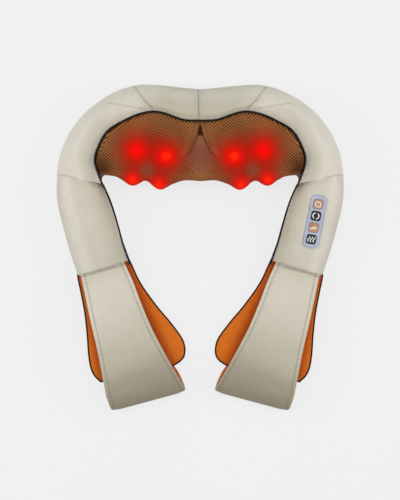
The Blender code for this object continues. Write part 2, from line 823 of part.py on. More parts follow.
PANEL_FRAME = (Matrix.Translation(PANEL_AT) @ Matrix.Rotation(-PANEL_LEAN, 4, "Z")
               @ Matrix.Rotation(PANEL_SLOPE, 4, "X"))


def panel_slab(name, width, height, radius, low, high, look, step=0.0, origin=(0, 0, 0)):
    """A round-cornered slab in the panel's own frame: along its length by step, heights from its face."""
    rings = []
    for z in (low, high):
        rings.append([PANEL_FRAME @ Vector((x, y, z)) for x, y in rounded(width, height, radius, (0, step))])
    return loft(name, rings, look, origin)


def panel_bezel():
    width, height = PANEL_SIZE
    made = panel_slab("panel_bezel", width, height, 7, -PANEL_DEEP, 0, lavender_plastic())
    cut(made, panel_slab("tool", width - 4, height - 4, 5, -PANEL_DEEP - 5, -3.5, steel()))
    for k in range(4):
        cut(made, panel_slab("tool", BUTTON + 0.7, BUTTON + 0.7, 3, -6, 5, steel(), (1.5 - k) * BUTTON_STEP))
    return made


def panel_board():
    width, height = PANEL_SIZE
    deep = PANEL_DEEP
    return panel_slab("panel_board", width - 5, height - 5, 4, 0.2 - deep, 1.6 - deep, board_green())


def buttons():
    names = ["button_power", "button_direction", "button_speed", "button_heat"]
    looks = [copper_plastic(), black_plastic(), copper_plastic(), black_plastic()]
    for k, (name, look) in enumerate(zip(names, looks)):
        step = (1.5 - k) * BUTTON_STEP
        at = PANEL_FRAME @ Vector((0, step, 0))
        panel_slab(name, BUTTON, BUTTON, 2.7, 2.9 - PANEL_DEEP, 1.2, look, step, at)


def cut_panel_pocket(piece):
    width, height = PANEL_SIZE
    cut(piece, panel_slab("tool", width + 0.8, height + 0.8, 7.4, -PANEL_DEEP - 0.6, 30, steel()))


def build():
    for found in list(bpy.data.objects):
        bpy.data.objects.remove(found)
    leather_core_cover()
    mesh_cover()
    core_piping()
    rim_foam()
    rear_foam_pad()
    core_rear_shell()
    core_front_shell()
    housing_screws()
    motor()
    motor_shaft()
    pair("worm", worm())
    pair("upper_wheel", upper_wheel())
    pair("lower_wheel", lower_wheel())
    pair("upper_spindle", upper_spindle())
    pair("lower_spindle", lower_spindle())
    pair("gear_bracket", gear_bracket())
    pair("upper_carrier", upper_carrier())
    pair("lower_carrier", lower_carrier())
    for end, place in enumerate(("inner", "outer")):
        pair("upper_node_" + place, upper_node(end))
        pair("lower_node_" + place, lower_node(end))
    pair("lamp_board", lamp_board())
    control_board()
    dc_inlet()
    _, right_sleeve = pair("arm_sleeve", arm_sleeve())
    _, right_foam = pair("arm_foam", arm_foam())
    pair("arm_piping", arm_piping())
    pair("orange_flap", flap())
    pair("flap_piping", flap_piping())
    pair("hand_strap", hand_strap())
    cut_panel_pocket(right_sleeve)
    cut_panel_pocket(right_foam)
    panel_bezel()
    panel_board()
    buttons()


build()
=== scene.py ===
# %% [markdown]
# # A shiatsu neck massager
# The massager is a padded U that hangs round the neck. Its top holds a geared motor and four pairs of
# turning nodes behind a brown mesh. Two leather arms come down from it, and each ends in an orange padded
# flap and a hand strap. The engineering model is already packed as a fixed frame, so this script only
# dresses it: each sewn or moulded piece is made here, at the place the frame gives, and the core's covers
# and the panel's pieces ride on the frame's bodies.

# %% load the frame
import json
import math

import bmesh
import bpy
import numpy as np
from mathutils import Matrix, Vector, noise


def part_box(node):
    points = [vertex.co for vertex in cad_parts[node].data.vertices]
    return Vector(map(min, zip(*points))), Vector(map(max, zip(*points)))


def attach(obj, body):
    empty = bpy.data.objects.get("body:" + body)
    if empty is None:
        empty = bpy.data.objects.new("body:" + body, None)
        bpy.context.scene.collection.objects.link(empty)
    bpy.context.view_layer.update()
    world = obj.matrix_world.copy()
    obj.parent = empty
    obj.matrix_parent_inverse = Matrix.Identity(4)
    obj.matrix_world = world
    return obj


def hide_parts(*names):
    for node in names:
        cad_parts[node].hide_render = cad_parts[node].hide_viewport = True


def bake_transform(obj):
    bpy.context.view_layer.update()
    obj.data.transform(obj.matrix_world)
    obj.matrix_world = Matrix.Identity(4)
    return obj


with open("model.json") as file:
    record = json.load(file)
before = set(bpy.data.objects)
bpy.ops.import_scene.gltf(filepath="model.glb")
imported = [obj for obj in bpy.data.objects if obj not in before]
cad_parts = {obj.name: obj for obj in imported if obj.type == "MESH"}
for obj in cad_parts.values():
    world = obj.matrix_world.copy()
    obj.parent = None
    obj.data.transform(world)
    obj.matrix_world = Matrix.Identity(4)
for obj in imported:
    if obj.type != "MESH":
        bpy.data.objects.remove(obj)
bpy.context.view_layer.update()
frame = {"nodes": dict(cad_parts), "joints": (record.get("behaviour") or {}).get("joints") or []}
MM = 0.001
SIDES = {"left": -1, "right": 1}

# %% [markdown]
# ## Camera, light and floor
# The massager lies on its back and is seen from straight above, so a camera with parallel rays keeps every
# width true. Two long soft boxes stand left and right: on a padded tube they draw the light bands along the
# outer third, and a painted highlight in the leather's colour makes those bands stronger. The floor gives off
# a little of its own light, which keeps its shadows faint.

# %% camera and lights
scene = bpy.context.scene
scene.view_settings.view_transform = "Standard"


def deselect():
    if bpy.context.object and bpy.context.object.mode != "OBJECT":
        bpy.ops.object.mode_set(mode="OBJECT")
    bpy.ops.object.select_all(action="DESELECT")


def soft_box(name, place, width, height, watts):
    deselect()
    bpy.ops.object.light_add(type="AREA", location=place)
    lamp = bpy.context.object
    lamp.name = name
    lamp.data.shape = "RECTANGLE"
    lamp.data.size, lamp.data.size_y = width, height
    lamp.data.energy = watts
    lamp.rotation_mode = "QUATERNION"
    lamp.rotation_quaternion = Vector(place).to_track_quat("Z", "Y")
    lamp.visible_camera = False


soft_box("light_left", (-1.05, 0.15, 1.15), 0.35, 1.6, 8.2)
soft_box("light_right", (1.05, 0.15, 1.15), 0.35, 1.6, 8.2)
soft_box("light_top", (0.0, 0.2, 1.8), 1.2, 0.8, 2.5)
world = bpy.data.worlds.new("studio")
scene.world = world
world.use_nodes = True
world.node_tree.nodes["Background"].inputs["Color"].default_value = (0.93, 0.95, 1.0, 1)
world.node_tree.nodes["Background"].inputs["Strength"].default_value = 0.52
deselect()
bpy.ops.object.camera_add(location=(-0.0002, -0.0036, 1.5), rotation=(0, 0, 0))
camera = bpy.context.object
camera.data.type = "ORTHO"
camera.data.ortho_scale = 0.65
scene.camera = camera
print("camera", tuple(camera.location), "lights", 3)

# %% [markdown]
# ## Shader maths in plain Python
# A finish is a network of nodes. `Wire` wraps the output of a node so that `1 - wire` or `wire * 2` adds the
# Math node for it, and `Finish.add` makes every other kind of node.

# %% wires and finishes


def tint(red, green, blue):
    """A colour as it is seen, 0 to 255, turned into the linear light that shaders use."""
    return tuple((c / 255 / 12.92 if c <= 10 else ((c / 255 + 0.055) / 1.055) ** 2.4)
                 for c in (red, green, blue)) + (1.0,)


class Wire:
    """A number that changes over a surface."""

    def __init__(self, tree, socket):
        self.tree, self.socket = tree, socket

    def step(self, operation, *others, turned=False, clamp=False):
        node = self.tree.nodes.new("ShaderNodeMath")
        node.operation = operation
        node.use_clamp = clamp
        values = [self, *others]
        for slot, value in zip(node.inputs, reversed(values) if turned else values):
            if isinstance(value, Wire):
                self.tree.links.new(value.socket, slot)
            else:
                slot.default_value = value
        return Wire(self.tree, node.outputs[0])

    def __add__(self, other):
        return self.step("ADD", other)

    def __sub__(self, other):
        return self.step("SUBTRACT", other)

    def __rsub__(self, other):
        return self.step("SUBTRACT", other, turned=True)

    def __mul__(self, other):
        return self.step("MULTIPLY", other)

    __radd__ = __add__
    __rmul__ = __mul__

    def size(self):
        return self.step("ABSOLUTE")

    def cosine(self):
        return self.step("COSINE")

    def power(self, exponent):
        return self.step("POWER", exponent)

    def clamped(self):
        return self.step("ADD", 0.0, clamp=True)


class Finish:
    """A procedural material round one Principled shader. Numbers given here go on its own sockets."""

    def __init__(self, name, **constants):
        self.material = bpy.data.materials.new(name)
        self.material.use_nodes = True
        self.tree = self.material.node_tree
        self.shader = self.tree.nodes["Principled BSDF"]
        for socket, value in constants.items():
            self.shader.inputs[socket.replace("_", " ")].default_value = value

    def add(self, kind, settings=None, sockets=None, out=0):
        node = self.tree.nodes.new(kind)
        for key, value in (settings or {}).items():
            setattr(node, key, value)
        for key, value in (sockets or {}).items():
            if isinstance(value, Wire):
                self.tree.links.new(value.socket, node.inputs[key])
            else:
                node.inputs[key].default_value = value
        return Wire(self.tree, node.outputs[out])

    def place(self):
        return self.add("ShaderNodeTexCoord", out="Object")

    def carried(self, name):
        """A number stored on the piece's own points."""
        return self.add("ShaderNodeAttribute", {"attribute_name": name}, out="Fac")

    def stretched(self, where, scale, turn=0.0):
        return self.add("ShaderNodeMapping", sockets={"Vector": where, "Scale": scale,
                                                      "Rotation": (0, 0, math.radians(turn))})

    def clouds(self, where, scale, detail=3.0, roughness=0.5):
        return self.add("ShaderNodeTexNoise", sockets={"Vector": where, "Scale": scale, "Detail": detail,
                                                       "Roughness": roughness}, out="Fac")

    def cells(self, where, scale, feature="F1"):
        return self.add("ShaderNodeTexVoronoi", {"feature": feature},
                        {"Vector": where, "Scale": scale}, out="Distance")

    def ramp(self, value, low, high):
        """0 at low, 1 at high, smooth between."""
        return self.add("ShaderNodeMapRange", {"interpolation_type": "SMOOTHSTEP"},
                        {"Value": value, "From Min": low, "From Max": high})

    def blended(self, factor, first, second):
        return self.add("ShaderNodeMix", {"data_type": "RGBA"}, {0: factor, 6: first, 7: second}, out=2)

    def feed(self, **wires):
        for socket, wire in wires.items():
            self.tree.links.new(wire.socket, self.shader.inputs[socket.replace("_", " ")])

    def relief(self, height, depth, below=None):
        """Bump of this depth in metres, on top of another bump where one is given."""
        sockets = {"Height": height, "Distance": depth, "Strength": 1.0}
        if below is not None:
            sockets["Normal"] = below
        return self.add("ShaderNodeBump", sockets=sockets)


print("finishes ready")

# %% [markdown]
# ## The leather
# The cover is a soft imitation leather: a fine pebbled grain, a satin shine that varies a little, and broad
# unevenness where it is stretched over the foam. Light and shade are painted into its colour too: a darker,
# greener painted shade in the hollows and lighter painted bands where the light falls. Each sewn piece
# carries its own numbers on its points for the painted shade, for seams (on the straps, a painted shadow line
# under the cuff) and for stitches, so one material serves them all.

# %% leather finish


def leather_finish():
    f = Finish("leather", Specular_IOR_Level=0.35)
    where = f.place()
    broad = f.clouds(where, 20, 2)
    mottled = f.clouds(where, 120, 4)
    grain = f.cells(where, 950)
    pores = f.clouds(where, 2200, 2)
    shade = f.carried("shade")
    seam_or_cuff_shadow = f.carried("seam_or_cuff_shadow").size()
    stitch = f.carried("stitch").size()
    run = f.carried("run")
    # A dark line along each seam; on a strap the same dark line is painted shadow where it leaves the cuff.
    line = 1 - f.ramp(seam_or_cuff_shadow, 0.2, 0.85)
    dashes = f.ramp((run * (2 * math.pi / 3.4)).cosine(), -0.1, 0.4)
    thread = (1 - f.ramp(stitch, 0.25, 0.8)) * dashes
    colour = f.blended((shade + (broad - 0.5) * 0.7).clamped(), tint(224, 217, 202), tint(192, 186, 164))
    colour = f.blended(f.ramp(shade, 1.0, 2.0), colour, tint(147, 134, 113))
    spots = f.ramp(mottled, 0.35, 0.75) * (1 - f.ramp(shade, 0.7, 1.5)) * 0.14
    colour = f.blended(spots, colour, tint(201, 192, 172))
    colour = f.blended(grain.power(2.0) * 0.25, colour, tint(158, 149, 126))
    colour = f.blended(line * 0.42, colour, tint(98, 88, 66))
    colour = f.blended(thread * 0.7, colour, tint(112, 102, 80))
    f.feed(Base_Color=colour, Roughness=0.46 + (mottled - 0.5) * 0.22 + grain * 0.1)
    soft = f.clouds(f.stretched(where, (34, 9, 20), 8), 1.0, 3)
    height = f.relief(soft, 0.003)
    height = f.relief(grain * -1 + pores * 0.3, 0.00018, height)
    height = f.relief(f.ramp(seam_or_cuff_shadow, 0.0, 1.8), 0.0007, height)
    height = f.relief(f.ramp(stitch, 0.0, 1.8) * 0.6 + thread * 0.6, 0.0004, height)
    f.feed(Normal=height)
    return f.material


LEATHER = leather_finish()
print(LEATHER.name, len(LEATHER.node_tree.nodes), "nodes")

# %% [markdown]
# ## The sewn outlines
# The frame's outlines repeat here in millimetres, from the centre line out to the left arm's seam and on down
# the arm. A smooth curve through each list gives as many stations as a piece needs.

# %% outlines
RIM = [(0, 205.7), (30, 208), (58, 210.8), (82, 210.7), (107, 203.5), (132, 189), (153, 171.5),
       (170, 148.5), (181.5, 122), (187.2, 91.4)]
PIPING_LINE = [(0, 164.3), (22, 165.6), (47, 174.2), (62, 176.3), (79, 173), (99, 164.3), (119, 152),
               (130.5, 134), (136.5, 112), (127.6, 83)]
NET_END = (131.6, 95.2)
NECK = [(0, 86), (20, 87), (36, 82), (50, 75.8), (62, 80.5), (73, 85.6), (88, 80.7), (101, 87.4),
        (111, 92.2), (127.6, 94.3)]
CROWN = [80, 80, 80, 80, 79, 77, 75, 72, 67, 62]
ARM_OUTER = [(186.5, 91.2), (186, 66.6), (183, 45.8), (177.5, 25), (172, 4.2), (165.6, -16.6), (158.6, -36.4)]
ARM_INNER = [(124.6, 81.4), (116, 62), (110.5, 45.8), (105, 27), (99.5, 7), (94.5, -7), (91, -16.6)]
ARM_CROWN = [62, 60.5, 58.5, 55.5, 51.5, 46, 40]
FLAP_OUTER = [(158.4, -28), (160, -38), (155.6, -60), (150.8, -86), (147.8, -112.8), (146, -138),
              (143.2, -156), (138, -167.5), (129.5, -176)]
FLAP_INNER = [(97.5, -4), (90.3, -18), (77, -46), (57, -74.5), (37, -98.5), (22, -120), (19, -137),
              (25, -148.5), (44, -160)]
STRAP_OUTER = [(155, -38), (149.7, -62), (142.2, -97.6), (133.8, -133.8), (126.8, -170), (122, -194.8)]
STRAP_INNER = [(98, -21), (87.6, -44.1), (76, -74.6), (63, -105.2), (48.2, -133.8), (33.4, -160)]
STRAP_FRONT = [29.5, 31.5, 33.5, 33.5, 31.5, 28]
STRAP_REAR = 2.2
FLAP_MIDDLE = 13.0
STATIONS = 15  # steps between two outline points on the covers
FAR = 50.0  # stands for "no seam or stitch here"
PIPING_LEVEL = 0.945  # the piping's share of the crown's height
LEATHER_WALL = 1.6
NET_WALL = 0.8
ROOF_LOW = 82
SWELL_FRAMES = 20
STITCH_INSET = 5.0


def through(values, steps):
    """Points of a smooth curve through the values, the given number of steps between each two."""
    rows = np.array(values, float)
    rows = rows[:, None] if rows.ndim == 1 else rows
    ends = np.vstack([2 * rows[:1] - rows[1:2], rows, 2 * rows[-1:] - rows[-2:-1]])
    found = []
    for i in range(1, len(rows)):
        a, b, c, d = ends[i - 1:i + 3]
        for t in np.arange(steps) / steps:
            found.append(0.5 * (2 * b + (c - a) * t + (2 * a - 5 * b + 4 * c - d) * t ** 2
                                + (3 * b - a - 3 * c + d) * t ** 3))
    return np.vstack(found + [rows[-1]])


def smooth(value, low, high):
    t = np.clip((np.asarray(value, float) - low) / (high - low), 0, 1)
    return t * t * (3 - 2 * t)


def both_sides(centre_out):
    """Stations from the left end over the centre line to the right end."""
    left = centre_out[::-1] * np.array([-1, 1, 1])
    return np.concatenate([left, centre_out[1:]])


print("rim", len(through(RIM, 16)), "stations a side")

# %% [markdown]
# ## Laying a sheet
# A sewn piece starts as Blender's grid, a flat cloth of squares. Each of its points is then laid on the
# surface worked out for that station. That suits a cover better than pushing a cube about, because the rows
# follow the seams. The distance along and across is kept on the points, for patterns that follow the cloth.

# %% sheet helpers


def grid_normals(sheet):
    along = np.gradient(sheet, axis=0)
    over = np.gradient(sheet, axis=1)
    found = np.cross(along, over)
    return found / np.maximum(np.linalg.norm(found, axis=2, keepdims=True), 1e-9)


def lengths(sheet, axis):
    steps = np.linalg.norm(np.diff(sheet, axis=axis), axis=2)
    total = np.cumsum(steps, axis=axis)
    pad = [(1, 0) if i == axis else (0, 0) for i in range(2)]
    return np.pad(total, pad)


def lay(name, sheet, carried=None, around=False):
    """A grid whose points lie on the sheet, rows by columns, in millimetres."""
    rows, columns = sheet.shape[:2]
    deselect()
    bpy.ops.mesh.primitive_grid_add(x_subdivisions=columns - 1, y_subdivisions=rows - 1, size=1)
    piece = bpy.context.object
    piece.name = piece.data.name = name
    flat = np.empty(len(piece.data.vertices) * 3)
    piece.data.vertices.foreach_get("co", flat)
    flat = flat.reshape(-1, 3)
    column = np.rint((flat[:, 0] + 0.5) * (columns - 1)).astype(int)
    row = np.rint((flat[:, 1] + 0.5) * (rows - 1)).astype(int)
    piece.data.vertices.foreach_set("co", (sheet[row, column] * MM).ravel())
    for key, values in (carried or {}).items():
        made = piece.data.attributes.new(key, "FLOAT", "POINT")
        spread = np.broadcast_to(values, (rows, columns))[row, column]
        made.data.foreach_set("value", spread.astype(np.float32))
    piece.data.update()
    bpy.ops.object.mode_set(mode="EDIT")
    bpy.ops.mesh.select_all(action="SELECT")
    if around:
        bpy.ops.mesh.remove_doubles(threshold=2e-6)
        bpy.ops.mesh.normals_make_consistent(inside=False)
    bpy.ops.object.mode_set(mode="OBJECT")
    return piece


def settle(piece, kind, **settings):
    """Adds a modifier and applies it."""
    deselect()
    piece.select_set(True)
    bpy.context.view_layer.objects.active = piece
    step = piece.modifiers.new(kind.title(), kind)
    for key, value in settings.items():
        setattr(step, key, value)
    bpy.ops.object.modifier_apply(modifier=step.name)
    return piece


def finish_piece(piece, look, body=None, angle=40, replaces=()):
    deselect()
    piece.select_set(True)
    bpy.context.view_layer.objects.active = piece
    bpy.ops.object.shade_smooth_by_angle(angle=math.radians(angle))
    if look and not piece.data.materials:
        piece.data.materials.append(look)
    if body:
        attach(piece, body)
    if replaces:
        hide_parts(*replaces)
    print(piece.name, len(piece.data.vertices), "points")
    return piece


def thick(piece, wall):
    return settle(piece, "SOLIDIFY", thickness=wall * MM, offset=-1.0)


def tube(path, radius, around=10, flat=1.0):
    """Rings about a path, drawn to a point at each end; flat squashes their height."""
    path = np.array(path, float)
    ahead = np.gradient(path, axis=0)
    ahead /= np.linalg.norm(ahead, axis=1, keepdims=True)
    side = np.cross(ahead, [0, 0, 1.0])
    side /= np.linalg.norm(side, axis=1, keepdims=True)
    up = np.cross(side, ahead)
    angle = np.linspace(0, 2 * math.pi, around + 1)
    rings = (path[:, None] + radius * (np.cos(angle)[None, :, None] * side[:, None]
                                       + flat * np.sin(angle)[None, :, None] * up[:, None]))
    first = path[0] - ahead[0] * radius * 0.3
    last = path[-1] + ahead[-1] * radius * 0.3
    near = rings[0] * 0.6 + first * 0.4
    far = rings[-1] * 0.6 + last * 0.4
    return np.concatenate([np.tile(first, (1, around + 1, 1)), near[None], rings, far[None],
                           np.tile(last, (1, around + 1, 1))])


def ripple(points, scale, seed=0.0):
    """Soft unevenness from -1 to 1 at each point of a sheet."""
    flat = points.reshape(-1, 3) / scale
    values = [noise.noise(Vector(p) + Vector((seed, seed * 0.7, 0))) for p in flat]
    return np.array(values).reshape(points.shape[:2])


print("sheet helpers ready")

# %% [markdown]
# ## The leather cover of the core
# It wraps the top of the U: it starts at the piping in front, rises over the foam, turns round the rim and
# runs flat along the back. Panels of leather are sewn together along seams: one at the centre, a slanting one
# each side, and a stitched one that follows the piping. Where panels meet, the leather dips and puffs up
# beside the seam.

# %% leather cover
PROFILE = [(0.975, 0.925), (0.93, 0.955), (0.75, 1.0), (0.5, 0.97), (0.25, 0.86), (0.08, 0.68), (0.0, 0.48),
           (0.08, 0.26), (0.25, 0.09), (0.5, 0.01), (0.8, 0.0)]
SEAMS = [[(-2.4, 212), (-2.0, 190), (-1.8, 160)],
         [(86, 212), (83.6, 207.7), (72.8, 192.5), (65.2, 182.7), (59.5, 174)]]
STITCHED = [[(122, 188.6), (108, 186.4), (95.5, 184), (82.5, 181.2), (70, 177.3)]]


def to_line(x, y, line):
    """Signed distance from points to a bent line, and how far along it the nearest place is."""
    best = np.full(x.shape, 1e3)
    run = np.zeros(x.shape)
    done = 0.0
    for (ax, ay), (bx, by) in zip(line[:-1], line[1:]):
        dx, dy = bx - ax, by - ay
        length = math.hypot(dx, dy)
        t = np.clip(((x - ax) * dx + (y - ay) * dy) / length ** 2, 0, 1)
        away = np.hypot(x - ax - t * dx, y - ay - t * dy)
        sign = np.where((x - ax) * dy - (y - ay) * dx < 0, -1, 1)
        nearer = away < np.abs(best)
        best = np.where(nearer, away * sign, best)
        run = np.where(nearer, done + t * length, run)
        done += length
    return best, run


def leather_sheet(steps):
    rim, pipe, neck = through(RIM, steps), through(PIPING_LINE, steps), through(NECK, steps)
    crown = through(CROWN, steps)[:, 0]
    profile = through(PROFILE, 10)
    share, height = np.clip(profile[:, 0], -0.01, 1), np.clip(profile[:, 1], 0, 1.01)
    flat = rim[:, None] + (pipe - rim)[:, None] * share[None, :, None]
    sheet = np.dstack([flat, crown[:, None] * height[None, :]])
    length = np.linalg.norm(neck - pipe, axis=1)
    rear = []
    for left_over in (np.maximum(length - 22, 0.45 * length), np.maximum(length - 9, 0.75 * length)):
        spot = pipe + (neck - pipe) * (left_over / length)[:, None]
        rear.append(np.column_stack([spot, np.zeros(len(spot))]))
    back = np.stack([sheet[:, -1], *rear], axis=1)
    fine = np.stack([back[:, 0] * (1 - t) + back[:, 1] * t for t in np.linspace(0.15, 1, 12)]
                    + [back[:, 1] * (1 - t) + back[:, 2] * t for t in (0.33, 0.66, 1)], axis=1)
    return both_sides(np.concatenate([sheet, fine], axis=1))


def leather_cover():
    sheet = leather_sheet(STATIONS)
    x, y = np.abs(sheet[..., 0]), sheet[..., 1]
    front = np.arange(sheet.shape[1])[None, :] < 62
    seam_or_cuff_shadow = to_line(sheet[..., 0], y, SEAMS[0])[0]
    slant = to_line(x, y, SEAMS[1])[0]
    seam_or_cuff_shadow = np.where(np.abs(slant) < np.abs(seam_or_cuff_shadow), slant, seam_or_cuff_shadow)
    ends = np.minimum(lengths(sheet, 0), lengths(sheet[::-1], 0)[::-1])
    seam_or_cuff_shadow = np.where(front, seam_or_cuff_shadow, FAR)
    stitch, run = to_line(x, y, STITCHED[0])
    stitch = np.where(front & (run > 0.5), stitch, FAR)
    across = lengths(sheet, 1)
    normals = grid_normals(sheet)
    if normals[len(normals) // 2, 20, 2] < 0:
        normals = -normals
    dip = (-0.8 * np.exp(-(seam_or_cuff_shadow / 2.2) ** 2) - 0.7 * np.exp(-(seam_or_cuff_shadow / 8) ** 2)
           - 0.5 * np.exp(-(stitch / 3.0) ** 2) + 0.5 * ripple(sheet, 26)
           - 0.6 * np.exp(-(ends / 1.6) ** 2) - 0.1 * np.exp(-(ends / 7) ** 2)
           + 0.35 * ripple(sheet * np.array([1, 0.3, 1]), 9, 3.0))
    dip *= smooth(across, 0, 7) * smooth(sheet[..., 2], 0.0, 8.0)
    # Painted light and shade in the shade value: darker beside the piping, over the middle of the top, along
    # the seams and towards the back; a lighter painted band on the outer part of the front and a pale painted
    # lip right at the piping.
    level = 0.25 + 0.45 * smooth(x, 70, 120)
    shade = (level * np.exp(-((across - 13) / 12) ** 2) * front - 0.5 * np.exp(-(across / 2.0) ** 2)
             + 0.3 * smooth(across, 95, 130) + 0.02 + 0.7 * (1 - smooth(x, 40, 90)) * front
             + 0.3 * np.exp(-(seam_or_cuff_shadow / 6) ** 2)
             - 0.5 * np.exp(-((across - 42) / 15) ** 2))
    return lay("leather_cover", sheet + normals * dip[..., None],
               {"shade": shade, "seam_or_cuff_shadow": seam_or_cuff_shadow, "stitch": stitch, "run": run})


def outward(piece, inside):
    """Turns an open sheet's faces away from a point inside it."""
    total = sum((Vector(face.center) - Vector(inside)).dot(face.normal) * face.area
                for face in piece.data.polygons)
    if total < 0:
        deselect()
        piece.select_set(True)
        bpy.context.view_layer.objects.active = piece
        bpy.ops.object.mode_set(mode="EDIT")
        bpy.ops.mesh.select_all(action="SELECT")
        bpy.ops.mesh.flip_normals()
        bpy.ops.object.mode_set(mode="OBJECT")
    return piece


cover = thick(outward(leather_cover(), (0, 0.15, 0.035)), LEATHER_WALL)
inlet_low, inlet_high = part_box("dc_inlet")
deselect()
bpy.ops.mesh.primitive_cylinder_add(vertices=32, radius=0.0084, depth=0.05,
                                    location=((inlet_low.x + inlet_high.x) / 2, 0.205,
                                              (inlet_low.z + inlet_high.z) / 2),
                                    rotation=(math.pi / 2, 0, 0))
drill = bpy.context.object
settle(cover, "BOOLEAN", operation="DIFFERENCE", solver="EXACT", object=drill)
bpy.data.objects.remove(drill)
finish_piece(cover, LEATHER, "core", replaces=("leather_core_cover", "rim_foam", "rear_foam_pad"))

# %% [markdown]
# ## The mesh over the nodes
# A stretchy brown net is drawn tight over the nodes. It bulges where they press, is gathered in a folded
# dart at the centre and in a tuck between each pair of nodes, and ends in a plain hem round the lower edge.
# The red lamps behind it shine through, brightest where a node touches; that light is painted on the net as
# its own glow, with a reddish painted spill and a lighter painted patch round the upper nodes. Painted shade
# darkens the end corners, the dart's crease and slit, the lower wall and the edge by the piping. The holes
# follow the cloth, so they are drawn from its own lengths, not from space.

# %% mesh cover
UPPER_CENTRE = Vector(frame["joints"][0]["pos_m"][:2]) / MM
UPPER_NODES = [(-(abs(UPPER_CENTRE.x) + side * 19.2), UPPER_CENTRE.y + side * 3.7) for side in (1, -1)]
LOWER_NODES = [(-87.6, 88.5), (-53.6, 82.0)]
# The panel inside the dart: Y, and its half width there
INNER_PANEL = [(95, 2), (99, 13), (107, 19), (115.5, 20.5), (123.5, 14.6), (133.5, 9.3), (148.5, 3.4),
               (161, 0.6)]
DART = [(0.6, 161), (3.4, 148.5), (9.3, 133.5), (14.6, 123.5), (22, 115.5)]


def roof(x, y):
    near = smooth(60 - np.hypot(np.abs(x) - 63.5, y - 122), 0, 24)
    return ROOF_LOW + 14.4 * near


def mesh_sheet(steps):
    pipe, neck = through(PIPING_LINE[:-1] + [NET_END], steps), through(NECK, steps)
    crown = through(CROWN, steps)[:, 0]
    length = np.linalg.norm(neck - pipe, axis=1)
    inward = (neck - pipe) / length[:, None]
    drop = np.minimum(14, 0.45 * length)
    ceiling = np.minimum(1, length / 40)
    base = crown * PIPING_LEVEL - 1
    columns = []
    for share in 1 - (1 - np.linspace(0, 1, 60)) ** 1.25:
        reach = 1.2 + (length - 1.2) * share
        flat = pipe + inward * reach[:, None]
        full = base + (roof(flat[:, 0], flat[:, 1]) - base) * ceiling
        height = base + (full - base) * min(1, share / 0.22) ** 0.7
        nearness = np.clip(1 - (length - reach) / drop, 0, 1)
        height = height - drop * (1 - np.sqrt(1 - nearness ** 2))
        columns.append(np.column_stack([flat, height]))
    low = columns[-1][:, 2]
    back = inward * np.minimum(8, length * 0.5)[:, None]
    for t in np.linspace(0.08, 1, 13):
        columns.append(np.column_stack([neck, low * (1 - t) + 22 * t]))
    for t in np.linspace(0.2, 1, 8):
        turn = math.sin(t * math.pi / 2)
        tucked = neck - back * (1 - math.cos(t * math.pi / 2))
        columns.append(np.column_stack([tucked, 22 - 17.4 * np.full(len(neck), turn)]))
    return both_sides(np.stack(columns, axis=1))


